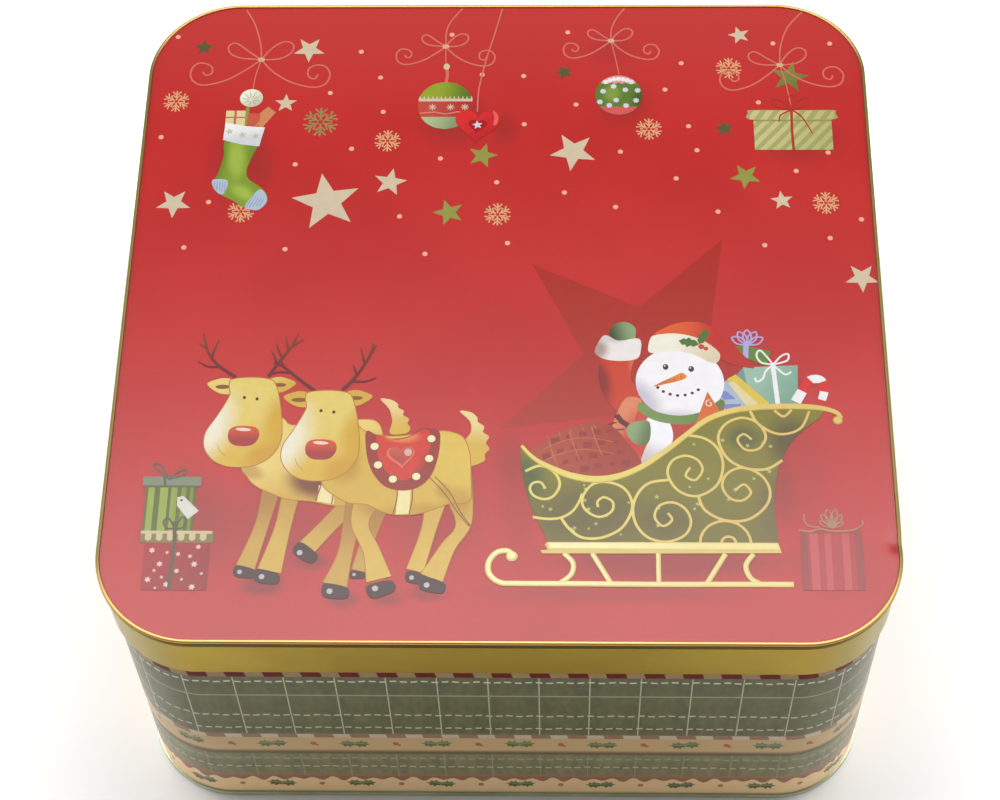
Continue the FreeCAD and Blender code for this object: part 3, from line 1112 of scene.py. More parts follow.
def deer_head(art, which, x, y):
    """Ears, head, eyes and nose; (x, y) shifts the far deer's places."""
    for ear, inner in (
            ([(-69.3, -25.3), (-71.3, -24.5), (-73.3, -24.8), (-75.9, -26.1), (-74.3, -28),
              (-72, -29.2), (-69.6, -29)], (-71.8, -27.1, 2.0, 0.65)),
            ([(-59.9, -25), (-57.3, -24.1), (-54.7, -24.8), (-52.9, -25.9), (-54.3, -27.5),
              (-56.7, -28.8), (-58.9, -28)], (-57.2, -26.5, 1.8, 0.6))):
        art.fill("ear", moved(smooth(ear, True, 4), x, y))
        art.fill("ear_dark", moved(ellipse(*inner, count=14), x, y))
    head = [(-69.5, -24.9), (-64.7, -24.3), (-60, -24.8), (-58.3, -26.3), (-57, -30.7),
            (-56, -37.3), (-55.9, -42.7), (-57.6, -47), (-61.3, -49.9), (-65.5, -50.8),
            (-70, -50.3), (-73.3, -48.2), (-75.3, -44.7), (-75.1, -40.6), (-73, -36.7),
            (-71, -32.7), (-69.7, -29.3), (-70.1, -26.6)]
    art.edged("deer_edge", "head_" + which, moved(smooth(head, True, 4), x, y))
    for u, v in ((-66, -30.3), (-62.7, -30.7)):
        art.fill("eye", moved(ellipse(u, v, 0.42, 0.5, count=12), x, y))
    cheek = smooth([(-71.9, -44.2), (-71.2, -46.2), (-69.8, -47.6)], False, 5)
    art.line("deer_line", moved(cheek, x, y), 0.12, 0.3)
    nose = [(-69.3, -40.2), (-67.6, -38.9), (-63.6, -38.9), (-61.7, -40), (-61.6, -42.4),
            (-63.4, -44.5), (-67.2, -44.6), (-69.2, -43)]
    art.fill("nose_" + which, moved(smooth(nose, True, 5), x, y))
    art.fill("nose_shine", moved(ellipse(-65.6, -39.8, 2.0, 0.5, -4, 16), x, y))


def antler(art, stem, *branches):
    """A deer's antler, thinner towards each end."""
    art.curve("antler", stem, 1.0, 0.45)
    for branch in branches:
        art.curve("antler", branch, 0.75, 0.3, steps=4)


def leg(art, shade, stations, x, y, wide, turn):
    """A deer's leg along (x, y, width) stations, with a hoof at (x, y)."""
    art.taper("deer_edge", [(u, v, width + 0.4) for u, v, width in stations])
    art.taper(shade, stations)
    shape = [(-0.5, 0.28), (0.05, 0.3), (0.5, 0.16), (0.52, -0.2), (0.2, -0.3), (-0.45, -0.24)]
    art.fill("hoof", moved(smooth(shape, True, 3), x, y, wide, turn))
    art.fill("hoof_shine", ellipse(x - wide * 0.22, y + 0.1, wide * 0.12, count=10))


def draw_far_deer(art):
    """The deer behind: antlers, tail, legs, body with a girth, and head."""
    antler(art, [(-68.6, -24.2), (-73.3, -20.7), (-76.4, -16.6), (-78, -10.8)],
           [(-73.3, -20.9), (-76, -21), (-78.8, -19.4)],
           [(-75.3, -18), (-74.8, -15.6), (-73.8, -12.6)], [(-77, -15.2), (-78.9, -14)])
    antler(art, [(-60.2, -23.9), (-57.6, -19.4), (-54.9, -15), (-53.2, -11)],
           [(-58.2, -20.4), (-59, -18), (-59.9, -16.2)],
           [(-56.9, -18.4), (-58.3, -15.4), (-58.6, -13.8)],
           [(-54.9, -15), (-53.2, -13.6), (-51.6, -12.8)],
           [(-55.5, -15.8), (-56.1, -13.2), (-56.3, -11.6)])
    tail = [(-30.9, -30.6), (-28, -30.9), (-26.3, -32.2), (-26.2, -33.2), (-24.7, -34.2),
            (-24.9, -35.4), (-23.3, -36.6), (-23.7, -38), (-22.9, -39), (-23.8, -40.8),
            (-28, -41), (-27.6, -37.4), (-28.5, -33.6)]
    art.blob("deer_tail_far", tail, 3)
    leg(art, "deer_leg_dark", [(-30, -62, 4.5), (-32, -70, 3.2), (-34.4, -80, 3.2)],
        -34.6, -81.2, 3.6, 0)
    leg(art, "deer_leg_far", [(-37.5, -61.5, 4.6), (-42.2, -67.2, 4.2), (-47.4, -73.6, 4.6)],
        -47.8, -75.2, 6.2, -32)
    leg(art, "deer_leg_dark", [(-57.2, -56, 4.4), (-59, -67, 3.2), (-62.4, -79.2, 4.6)],
        -62.6, -80.6, 5.2, -8)
    leg(art, "deer_leg_far", [(-52.2, -57.5, 4.4), (-53.8, -68, 3.8), (-56.4, -80.2, 5.8)],
        -56.9, -81.9, 6.0, -8)
    body = [(-64.8, -49.5), (-63.8, -53.3), (-61.3, -56.2), (-57.3, -58.3), (-53.3, -59.9),
            (-47, -60.6), (-40, -61.8), (-32, -60), (-29, -50), (-30, -41), (-31.5, -37.6),
            (-34.8, -36.8), (-44, -37.5), (-53.2, -38.6), (-56.8, -37)]
    art.edged("deer_edge", "deer_body_far", smooth(body, True, 4))
    art.fill("girth", [(-45.4, -56), (-41.4, -56), (-41.4, -61.4), (-45.6, -60.6)])
    art.line("strap", [(-44.6, -55), (-46, -60.5)], 0.35)
    art.line("strap", [(-41.6, -57.4), (-41.9, -61.4)], 0.35)
    deer_head(art, "far", 0, 0)


def draw_near_deer(art):
    """The deer in front, with a red saddle cloth and a heart on it."""
    antler(art, [(-48, -28.2), (-52, -24.9), (-56.4, -21), (-59, -19.9)],
           [(-54.4, -22.8), (-57.8, -22.6), (-60, -23.6)], [(-56.4, -21), (-57.4, -18.6)])
    antler(art, [(-40.9, -28), (-38, -24.6), (-35, -19.4), (-32.6, -14.2)],
           [(-38.4, -25.2), (-35, -25.4), (-32.2, -24.2)], [(-37.3, -23.3), (-38.4, -20.4)],
           [(-35.4, -20), (-36.6, -15.2)], [(-34.4, -18.2), (-33.4, -14.8), (-33.6, -13.8)])
    tail = [(-10.4, -34.2), (-7.4, -34.6), (-5.8, -36.2), (-5.7, -37.4), (-4, -38.8), (-4.3, -40.4),
            (-2.7, -41.8), (-3.5, -43.6), (-2.5, -45.4), (-3.7, -46.8), (-3.9, -49), (-8.4, -50.2),
            (-9.2, -44), (-7.4, -40.5), (-7.7, -37.2)]
    art.blob("deer_tail", tail, 3)
    leg(art, "deer_leg", [(-15.5, -58, 6.0), (-17.2, -68, 3.6), (-20.4, -80, 4.2)],
        -20, -82, 5.2, -10)
    leg(art, "deer_leg_dark", [(-35.6, -60, 5.4), (-36.8, -68, 3.8), (-38, -76, 3.6),
                               (-40, -84, 6.0)], -39.8, -85.8, 6.4, -5)
    leg(art, "deer_leg", [(-11.4, -54, 9.0), (-8.6, -66.4, 3.8), (-12.4, -73.4, 3.6),
                          (-16.2, -82, 5.8)], -16, -84, 6.2, -12)
    leg(art, "deer_leg", [(-32.4, -59, 7.0), (-34.6, -66.8, 4.2), (-31.4, -74.4, 4.0),
                          (-29.2, -82.4, 6.2)], -28.6, -85, 6.6, 22)
    body = [(-38, -38), (-34, -40.6), (-28, -41.8), (-20, -41), (-15, -40.2), (-12, -40.6),
            (-9.2, -42.3), (-7.6, -47), (-7.2, -54), (-7.4, -60.4), (-12.6, -61.2), (-16.8, -62.9),
            (-20, -64), (-24, -64.4), (-28.4, -63.8), (-33, -61.4), (-37.4, -61), (-41.4, -58.8),
            (-44.2, -56.2), (-45, -52), (-42, -44)]
    art.edged("deer_edge", "deer_body", smooth(body, True, 4))
    art.fill("girth", [(-25.3, -56), (-22.1, -56), (-22.4, -64.1), (-25.7, -64.3)])
    art.curve("strap", [(-25.6, -56), (-25.6, -60), (-26.4, -64.2)], 0.35, steps=4)
    art.curve("strap", [(-21.9, -56), (-21.7, -60), (-22.4, -64.2)], 0.35, steps=4)
    for shift in (0, 1.5):
        strap = [(-17.8 + shift, -53.4), (-13.8 + shift, -58), (-10.3 + shift / 2, -63.5),
                 (-7.2 + shift / 4, -67.6)]
        art.curve("strap", strap, 0.32, steps=4)
    saddle = [(-34.1, -40.2), (-33.8, -46.6), (-32.2, -52), (-28.9, -56.2), (-24.7, -57.5),
              (-20.4, -56.6), (-17.2, -53.2), (-15.6, -48), (-15.1, -42.6), (-15.9, -39.8),
              (-20, -39.4), (-22.9, -41.6), (-26.7, -42.4), (-30.7, -41.8)]
    art.blob("saddle_edge", saddle)
    middle = [(-31.2, -41.4), (-31, -46.5), (-29.4, -51), (-24.6, -54.6), (-20, -51.8),
              (-17.8, -46), (-17.6, -41), (-19.6, -39.7), (-22.9, -41.9), (-26.7, -42.7)]
    art.blob("saddle", middle)
    art.fill("heart_shine", heart(-25, -47.4, 3.6, 6))
    art.fill("saddle_heart", heart(-24.9, -47.1, 3.2, 6))
    art.fill("heart_light_spot", ellipse(-23.2, -46.4, 1.0, 1.1, 0, 16))
    for x, y in ((-31.8, -44.7), (-30.7, -50.1), (-26.8, -54.2), (-20.9, -53.4), (-17.8, -48.2),
                 (-17.4, -42.4)):
        art.fill("stud_edge", ellipse(x, y, 1.3, count=16))
        art.fill("stud", ellipse(x, y, 1.05, count=16))
    deer_head(art, "near", *DEER_STEP)


def draw_gift_stack(art):
    """Two wrapped boxes, one on the other, with bows and a tag."""
    art.fill("stack_green", box(-89, -69.3, -76.4, -56.6))
    for x, width in ((-88.4, 1.6), (-85.4, 2), (-82.6, 1.6), (-80, 1.2), (-77.8, 0.8)):
        art.fill("stack_lime", box(x, -69.3, x + width, -56.8))
    art.fill("stack_grey", box(-90, -56.6, -75.2, -53.7))
    art.line("stack_grey_dark", [(-90, -56.4), (-75.2, -56.4)], 0.4)
    art.loops("stack_grey_dark", (-83.5, -54.4), 0.45,
              [(-86.5, -51.8), (-87.8, -50.2), (-86, -50.2)],
              [(-81.3, -52.2), (-79.4, -51.6), (-80, -53.3)])
    art.line("stack_grey_dark", [(-84.6, -53.6), (-84.2, -56.8)], 0.7)
    art.fill("stack_red", box(-88, -85.6, -71.6, -72))
    for x, y, size in (
            (-86, -74.6, 0.7), (-83.8, -78.4, 0.7), (-86.4, -82.7, 0.7), (-81.7, -84, 0.7),
            (-79.4, -75.6, 0.55), (-79.4, -80.3, 0.6), (-75.2, -78.4, 0.75), (-76.4, -76.2, 0.5),
            (-74.5, -73.6, 0.6), (-75.3, -84.7, 0.75), (-83, -82, 0.4), (-85, -80.2, 0.4),
            (-78, -82.6, 0.4), (-73.2, -81, 0.4), (-82.2, -75.2, 0.4), (-84.4, -85, 0.35)):
        art.fill("stack_white", star(x, y, size * 1.25, 30 * x, 0.55, 6))
    art.fill("stack_awning", box(-89.2, -72.4, -71, -69.2))
    for i in range(6):
        x = -88.1 + 2.75 * i
        tooth = [(x + 1.6, -69.2), (x + 1.6, -71.4), (x + 0.8, -72), (x, -71.4), (x, -69.2)]
        art.fill("stack_cream", tooth)
    art.fill("stack_cream", box(-89.2, -69.9, -71.4, -69.1))
    art.line("stack_tie", [(-81, -66.5), (-80.6, -72), (-80.9, -85.4)], 1.0)
    art.loops("stack_tie", (-80.8, -68.4), 0.5, [(-82.6, -65.6), (-83.8, -66.6), (-82.8, -68.4)],
              [(-79.4, -65.4), (-78.2, -66), (-78.8, -68.2)])
    art.fill("tag", [(-80.9, -59.6), (-79.4, -59.2), (-75.2, -63.4), (-77.8, -65.8), (-80.8, -62)])
    art.fill("stack_grey_dark", ellipse(-79.8, -60.4, 0.35, count=8))


def draw_red_gift(art):
    """A striped red box with a thin bow."""
    art.fill("pale_red", box(75, -84.9, 90.2, -68.4))
    for x, width in ((77.3, 2), (80.9, 1.6), (85.2, 1.8)):
        art.fill("pale_red_light", box(x, -84.9, x + width, -68.4))
    for x, width in ((75, 1.7), (88.4, 1.8)):
        art.fill("pale_red_dark", box(x, -84.9, x + width, -68.4))
    art.fill("pale_red_dark", box(75, -69.2, 90.2, -68.3))
    art.curve("pale_bow", [(74.6, -68.2), (77.5, -68.6), (80, -67.9), (83, -68.5),
                           (88, -68.2), (90.6, -66.6), (90.4, -65.4)], 0.4)
    art.petals("pale_bow", (83, -67.6), 0.16, 0.6, 0.35,
               (-60, 3.2), (-35, 4.4), (-12, 5.2), (12, 5.2), (35, 4.6), (60, 3.6))
    art.curve("pale_bow", [(80, -67.4), (77.6, -67.2), (76.2, -65.8), (76.2, -63.8)], 0.35)


TRIM_LINE = (               # (x, y, width) along the sleigh's upper edge
    (5.6, -44.3, 0.6), (7.6, -46.8, 0.8), (10, -48.9, 1), (13.5, -50.9, 1.3), (18, -52.9, 1.6),
    (24, -54, 1.7), (30, -53.1, 1.5), (36, -50.3, 1.3), (42, -45.8, 1.2), (48, -40.5, 1.2),
    (53, -36.4, 1.3), (59, -33.9, 1.4), (65, -32.9, 1.4), (72, -32.5, 1.4), (78.5, -32.6, 1.3),
    (83, -33.2, 1.1), (86, -34.4, 1), (87.1, -36, 0.8))
SCROLLS = (                 # the curls painted on the sleigh's side
    [(6.6, -51.8), (10.4, -50.2), (14, -52.2), (15.3, -55.6), (13.8, -58.8), (11.4, -59.8),
     (8.8, -58.8), (7.8, -56.8), (8.6, -55.2), (10.5, -55), (11.7, -56.8)],
    [(8.6, -64.9), (12.4, -65.4), (15.7, -65), (18.5, -63.2), (20.2, -60.4), (20.9, -58.2)],
    [(15.6, -65), (17.4, -67.8), (20.2, -70.3), (23.4, -70.9), (27, -70.2), (31, -67.6),
     (33.4, -62.6), (32.8, -58.6), (30.6, -56), (26.7, -54.8), (23.2, -55.8), (21, -59.4),
     (21.6, -62.6), (25, -64.8), (28.2, -63.3), (28.6, -60.6), (26.4, -59.2), (24.8, -60.4),
     (24.9, -62)],
    [(42.6, -54.2), (38, -55), (35.1, -57.8), (33.6, -62.2), (34.4, -67), (37.4, -70.6),
     (42, -71.7), (46.4, -69.8), (48, -66.2), (46.8, -62.6), (43.6, -60.6), (40.2, -61.6),
     (39, -64.8), (41, -67.3), (43.3, -65.6), (42.3, -63.6)],
    [(47.8, -41.2), (52, -42.1), (55.2, -45), (56.5, -49.8), (54.8, -55.6), (49.8, -58.8),
     (45, -57.2), (42.5, -52.6), (43.6, -48.8), (46.8, -47.2), (50, -48.3), (51.3, -51.2),
     (49.4, -54.2), (47, -53), (48.2, -50.6)],
    [(71.5, -48.4), (67.4, -51), (62, -50.7), (57.6, -47.8), (55.5, -42.2), (57.4, -38),
     (61.6, -36), (65.6, -37.5), (67.6, -41.4), (65.8, -45), (62.4, -45.4), (60.4, -42.6),
     (62, -40.8), (64, -42.4)],
    [(50, -58.8), (51.6, -62.8), (56.4, -65.6), (62.2, -65.4), (66.8, -61.6), (68, -57),
     (65.8, -52.6), (61.2, -50.6), (57.4, -52.4), (56.1, -56), (58, -59.4), (61, -60),
     (63.2, -57.8), (61.6, -55.4), (59.4, -57)],
    [(63.9, -34), (66, -38), (71, -40.8), (76.4, -39.2), (79, -34)],
    [(70.1, -33.8), (72.4, -35.6), (74.5, -33.6)])


def draw_hull(art):
    """The sleigh's side, with scrolls, sparks and a trim that ends in a curl."""
    right = [(81.6, -36), (77.4, -39.4), (74, -43.2), (71.2, -48.4), (69.7, -54), (69, -61),
             (69.2, -67), (69.6, -72.4)]
    left = [(12.6, -72.4), (9, -64), (7.2, -58.6), (5.7, -51), (5.4, -46)]
    top = [(x, y) for x, y, _ in TRIM_LINE[:-2]]
    hull = smooth(top, False, 4) + smooth(right, False, 4) + smooth(left, False, 4)
    art.fill("hull", hull)
    pick = random.Random(4)
    for _ in range(52):
        x = pick.uniform(9, 74)
        y = pick.uniform(-70, -38)
        if inside_outline(hull, x, y, 2.0):
            art.fill("hull_spark", star(x, y, pick.uniform(0.45, 0.75), 20 * x, 0.45))
    for x, y, rx, ry in ((56.4, -72, 6.3, 6.2), (57.2, -72, 1.8, 1.8)):
        arch = [(x - rx * math.cos(math.pi * i / 12), y + ry * math.sin(math.pi * i / 12))
                for i in range(13)]
        art.line("trim", arch, 0.68)
    for points in SCROLLS:
        art.curve("trim", points, 0.74, 0.62)
    art.taper("trim_edge", [(x, y - 0.12, width + 0.3) for x, y, width in TRIM_LINE])
    art.taper("trim", TRIM_LINE)
    art.fill("trim_edge", ellipse(86.1, -36.7, 1.25, count=18))
    art.fill("trim", ellipse(86.1, -36.6, 0.95, count=18))


def draw_runner(art):
    """The sleigh's glide, its stays and the plate that they hold up."""
    for points, width in (
            ([(16.4, -75), (18.6, -77.6), (18.2, -80.8), (15.4, -83.2)], 1.3),
            ([(23.4, -75), (27.8, -83)], 1.3), ([(39.7, -75), (39.7, -83.2)], 1.2),
            ([(56.3, -75), (51.6, -83)], 1.3),
            ([(63.2, -75), (61.2, -78.2), (62.2, -81.6), (64.6, -83.2)], 1.3)):
        curve = smooth(points, False, 5) if len(points) > 2 else points
        art.line("runner_edge", curve, width)
        art.line("runner", [(u - 0.12, v) for u, v in curve], width * 0.55)
    glide = [(3.9, -75.6), (2.2, -74.4), (-0.4, -75), (-2.2, -77.6), (-2.0, -80.8), (0.6, -83.1),
             (5, -83.4), (20, -83.4), (40, -83.5), (60, -83.4), (72.7, -83.4)]
    curve = smooth(glide, False, 6)
    art.line("runner_edge", curve, 1.5)
    art.line("runner", [(u, v + 0.15) for u, v in curve], 0.9)
    art.fill("runner_edge", ellipse(3.5, -75.9, 1.45, count=18))
    art.fill("runner", ellipse(3.4, -75.6, 1.05, count=18))
    plate = [(11.6, -72.6), (12.2, -71.9), (40, -71.8), (69.4, -71.9), (70.2, -74.8), (40, -75),
             (11, -75.1), (10.6, -74.2), (12.4, -74)]
    art.fill("runner_edge", plate)
    art.fill("runner", [(12.4, -72.1), (69.2, -72.1), (69.8, -73.7), (12.8, -73.6)])


def draw_blanket(art):
    """A checked blanket that hangs over the sleigh's front."""
    cloth = smooth([(7.6, -46.8), (11.5, -43.2), (17, -39.4), (24, -37.3), (28.6, -38.6),
                    (32, -42.6), (36.2, -50.2), (30, -53.4), (24, -54), (17, -53), (11.5, -50.4)],
                   True, 4)
    art.fill("blanket", cloth)
    patch = [(-1, -0.8), (0.9, -0.7), (1, 0.6), (-0.8, 0.7)]
    for row in range(4):
        for i in range(7):
            x = 10.6 + 3.5 * i + 1.3 * row
            y = -44.2 - 3.1 * row + 1.5 * i - 0.13 * i * i
            if inside_outline(cloth, x, y, 1.3):
                size = 1.0 + 0.25 * math.sin(i * 2.1 + row)
                art.fill("blanket_dark", moved(patch, x, y, size, 22 - 6 * i))
    for x, y in ((12.6, -43), (17.8, -40.2), (23.4, -38.6)):
        thread = [(x, y), (x + 0.8, y - 3.4), (x + 2.6, y - 8.6)]
        art.curve("blanket_line", thread, 0.45, 0.2, steps=4)
    for y in (-45.6, -49):
        thread = [(11, y), (16, y + 2.6), (22, y + 3.6), (29, y + 2.4)]
        art.curve("blanket_line", thread, 0.3, 0.2, steps=4)
    for i in range(5):
        x, y = 12.4 + 3 * i, -42.4 + 1.1 * i - 0.07 * i * i
        art.line("blanket_line", [(x, y), (x - 0.5, y + 1.2)], 0.35, 0.15)


def draw_snowman(art):
    """A snowman in a red coat and cap, with one mitten raised."""
    tail = [(55, -10.6), (60, -13.6), (64.6, -19.6), (65.2, -21.2), (61, -20.2), (56.6, -18)]
    art.blob("cap_dark", tail)
    coat = [(34, -29), (40, -28), (52, -28), (57.5, -32), (54, -38), (48, -44), (41, -50),
            (35, -52), (31.5, -46), (29.6, -40), (31, -34)]
    art.blob("coat", coat)
    art.blob("coat_dark", [(43, -36), (50, -34.5), (55, -34), (50, -41), (43.5, -46)])
    art.taper("coat", [(38, -36, 7), (32, -30, 8.6), (29.4, -24.4, 8.2), (30.2, -17.4, 9)])
    sleeve = [(32.6, -30), (30, -34.4), (28.4, -41), (31, -44.2), (35.6, -47.6), (37, -42),
              (34.4, -37), (36.4, -31)]
    art.blob("coat_light", sleeve)
    art.line("reins", [(29.7, -35.2), (31, -37.1), (33.2, -38.8)], 1.5)
    art.line("reins", [(26.8, -38.4), (29.8, -37.4)], 0.4)
    art.line("reins", [(26.8, -39.8), (31.8, -39.5)], 0.4)
    raised = [(28.3, -12.2), (28.4, -9.4), (30.2, -7.4), (33, -7.2), (35, -9), (35, -12),
              (36.2, -12.6), (34.6, -14.4), (30, -14.2)]
    art.blob("mitten", raised)
    cuff = [(24.3, -16.2), (26, -12), (27.6, -11.2), (30.6, -12.8), (35.9, -12.2), (36.2, -16.2),
            (35, -18.4), (30.6, -19), (26.6, -18.3)]
    art.blob("cuff_raised", cuff)
    cuff = [(37.8, -36), (42, -35.9), (43.9, -39.4), (43.7, -43.4), (40.6, -46.6),
            (35.8, -50), (36.6, -46), (38, -42.4), (37.6, -39)]
    art.blob("cuff_low", cuff)
    mitten = [(38.2, -37.4), (35.8, -37), (33, -38), (32.3, -40.6), (34, -43.4), (36.4, -44.2),
              (38.2, -42.4)]
    art.blob("mitten_low", mitten)
    art.fill("snow", ellipse(46.2, -25.4, 11.4, 10.6, -4, 44))
    for x, y in ((42.6, -20.8), (49.2, -21.4)):
        art.fill("coal", ellipse(x, y, 0.75, 0.9, count=14))
        art.fill("snow", ellipse(x - 0.2, y + 0.3, 0.22, count=8))
    for x, y in arc(46, -23.2, 7, 6.2, 218, 96, 6):
        art.fill("coal", ellipse(x, y, 0.45, count=10))
    nose = [(45.4, -23.2), (47, -22.6), (48, -23.8), (46.6, -24.8), (42.4, -26), (39.4, -26.6)]
    art.blob("carrot", nose)
    art.line("carrot_line", [(44.6, -24.2), (45, -25.2)], 0.25)
    art.line("carrot_line", [(46.4, -23.4), (46.8, -24.4)], 0.25)
    crown = [(40.2, -11.4), (42.6, -8.8), (47, -7.1), (52, -7.2), (56, -9.4), (58, -13.4),
             (57.2, -17), (50, -14)]
    art.blob("cap", crown)
    band = [(38.2, -15.8), (38.8, -12.2), (40.4, -11), (46, -10.6), (52, -12.4), (56.6, -16.4),
            (56, -19.4), (53.6, -19.2), (50, -17), (45, -16), (40, -16.6)]
    art.blob("cap_band", band)
    leaf = [(0, 0), (.2, .2), (.32, .16), (.45, .3), (.6, .18), (.75, .22), (1, 0), (.75, -.2),
            (.6, -.14), (.45, -.28), (.32, -.14), (.2, -.2)]
    art.fill("leaf", moved(leaf, 46.2, -12.8, 5.4, -12))
    art.fill("leaf", moved(leaf, 51.4, -13.8, 5.2, 62))
    art.fill("holly_berry", ellipse(52, -14.6, 0.8, count=12))
    art.fill("holly_berry", ellipse(53.2, -15.2, 0.6, count=12))
    scarf = [(36.4, -31.4), (40, -34.2), (46, -35.4), (52, -34), (56.4, -30.6), (57.4, -32.4),
             (53, -36.4), (46.4, -38), (39.4, -36.8), (35.2, -33.6)]
    art.blob("scarf", scarf)
    art.fill("cargo_orange", [(53.2, -28.2), (56.8, -35.2), (54, -36.6), (49.6, -38.6)])
    art.line("cuff", spiral(53.6, -31.8, 1.1, 0.3, 90, 1.0), 0.25)


def draw_cargo(art):
    """Wrapped boxes and a candy cane behind the rider."""
    art.fill("cargo_green", [(59.6, -14.6), (64, -14.4), (70, -16), (68.6, -20.4), (63, -17.8)])
    art.line("lilac", [(63.6, -13.6), (63.4, -18)], 1.4)
    art.petals("lilac", (64, -14), 0.24, 0.55, 0.45,
               (-62, 4.6), (-30, 4.6), (0, 4.6), (30, 4.6), (60, 4.6))
    art.fill("cargo_teal_dark", [(62.4, -21.2), (63.6, -20.6), (66, -32.4), (59.6, -30),
                                 (59.4, -25)])
    art.fill("cargo_teal", [(62.6, -20.9), (76.7, -20.2), (76.2, -33.2), (64.6, -33)])
    art.fill("cuff", [(69.7, -20.4), (70.9, -20.4), (71.8, -33.2), (70.6, -33.2)])
    art.loops("cuff", (70.4, -20), 0.5, [(67.4, -15.8), (66.2, -17.2), (67.4, -19.4)],
              [(72.6, -17.4), (74.4, -16.8), (74, -18.8)])
    art.curve("cuff", [(70.4, -20), (71.8, -21.6), (73.4, -23), (75, -22.2)], 0.5)
    art.curve("cuff", [(70.4, -20), (68.4, -22), (67.6, -24.2), (66, -25.2), (65.6, -24)], 0.5)
    art.fill("cargo_blue_pale", [(54.4, -27.4), (58.6, -24.6), (63.4, -33.6), (57, -34.6)])
    art.fill("cargo_blue", [(55.8, -28), (58, -28), (60.4, -30.4), (57.2, -30.6)])
    art.fill("cargo_blue", [(57, -32), (61.8, -31.8), (61, -33.6), (57.8, -34)])
    art.fill("cargo_yellow", [(58.4, -24.4), (60.6, -23), (68.8, -31.4), (68, -33.6),
                              (63.6, -33.8)])
    art.fill("cargo_yellow_pale", [(58.6, -25.6), (60, -25), (66.6, -32.4), (65.2, -33.4),
                                   (63.6, -33.4)])
    art.fill("cargo_yellow", [(53.8, -27.6), (54.8, -27.4), (57.8, -34.4), (56.4, -34.8)])
    cane = smooth([(75.7, -31.2), (77.5, -28), (79.3, -25.1), (81, -24.3), (82.5, -24.8),
                   (83.2, -26.8), (83, -28.6), (82.4, -30.6)], False, 4)
    cane = [(x, y, 2.7 - 0.6 * i / (len(cane) - 1)) for i, (x, y) in enumerate(cane)]
    art.taper("cuff", cane)
    for start, end in ((4, 10), (17, 24)):
        art.taper("cane_red", cane[start:end])


def lid_film(name, level, draw, *values):
    """One motif of the lid's print, painted by draw and its values."""
    art = Print()
    draw(art, *values)
    film("lid_print_" + name, art, "lid", lid_place, level)


BOWS = (                    # name, place, size, turn, string above, end that hangs below
    ("stocking", -68.8, 80.4, 19.6, 0, [(-74.2, 98.4), (-71.4, 93), (-69.4, 86)],
     [(-70, 75), (-70.5, 69.6)]),
    ("left_bauble", -17, 85, 13.9, 0, [(-12.6, 98.8), (-15.8, 94), (-17, 90)],
     [(-16.9, 80), (-16.6, 78)]),
    ("right_bauble", 29.5, 87, 13.4, 0, [(33.4, 98.8), (31, 95), (29.6, 91)],
     [(30.6, 81), (31.6, 75)]),
    ("gift", 76.5, 78.3, 17.2, 4, [(84.2, 98), (79.4, 92), (77, 85)], [(78, 71), (79, 63)]))


def lid_films():
    """Every printed motif, from the lowest film to the topmost."""
    lid_film("big_star", 0, draw_star, "big_star", 38.7, -19.6, 43.5, 45)
    lid_film("scatter", 1, draw_scatter)
    lid_film("bow_star", 1, draw_star, "olive_shade", 79, 74, 5.6, -12)
    for name, *bow in BOWS:
        lid_film("ribbon_" + name, 2, draw_ribbon, *bow)
    for name, level, draw in (
            ("stocking", 3, draw_stocking), ("left_bauble", 3, draw_left_bauble),
            ("heart", 4, draw_heart), ("right_bauble", 3, draw_right_bauble),
            ("striped_gift", 3, draw_striped_gift), ("gift_stack", 3, draw_gift_stack),
            ("red_gift", 3, draw_red_gift), ("far_deer", 4, draw_far_deer),
            ("near_deer", 5, draw_near_deer), ("cargo", 3, draw_cargo),
            ("snowman", 4, draw_snowman), ("blanket", 5, draw_blanket),
            ("sleigh_hull", 6, draw_hull), ("sleigh_runner", 7, draw_runner)):
        lid_film(name, level, draw)


# ---------------------------------------------------------------- studio

FLOOR_HALF = 4000
FLOOR_WHITE = (0.95, 0.95, 0.95, 1)
WORLD_GREY = (0.16, 0.16, 0.16, 1)
LAMPS = (                   # name, place, height aimed at, width, height, watts, seen in gloss
    ("back_light", (0, 290, 1000), 60, 1500, 300, 14, True),
    ("left_light", (-950, 200, 420), 40, 800, 400, 6, True),
    ("right_light", (950, 200, 420), 40, 800, 400, 6, True),
    ("front_light", (0, -1000, 200), 60, 900, 300, 1.2, False))
CAMERA_AT = (15.16, -349.54, 635.99)
CAMERA_TURNS = (-2.74, 59.163, -2.221)      # degrees to the right, downwards and of roll
CAMERA_LENS = 87.19         # focal length
CAMERA_SENSOR = 36          # width
CAMERA_NEAR = 0.01          # nearest distance seen, in metres


def softbox(name, spot, aim, wide, tall, watts, reflected):
    """A soft lamp that points at a height over the middle of the floor."""
    data = bpy.data.lights.new(name, "AREA")
    data.shape = "RECTANGLE"
    data.size = wide * MM
    data.size_y = tall * MM
    data.energy = watts
    made = bpy.data.objects.new(name, data)
    made.location = Vector(spot) * MM
    ahead = Vector((0, 0, aim)) - Vector(spot)
    made.rotation_euler = ahead.to_track_quat("-Z", "Y").to_euler()
    made.visible_glossy = reflected
    bpy.context.scene.collection.objects.link(made)


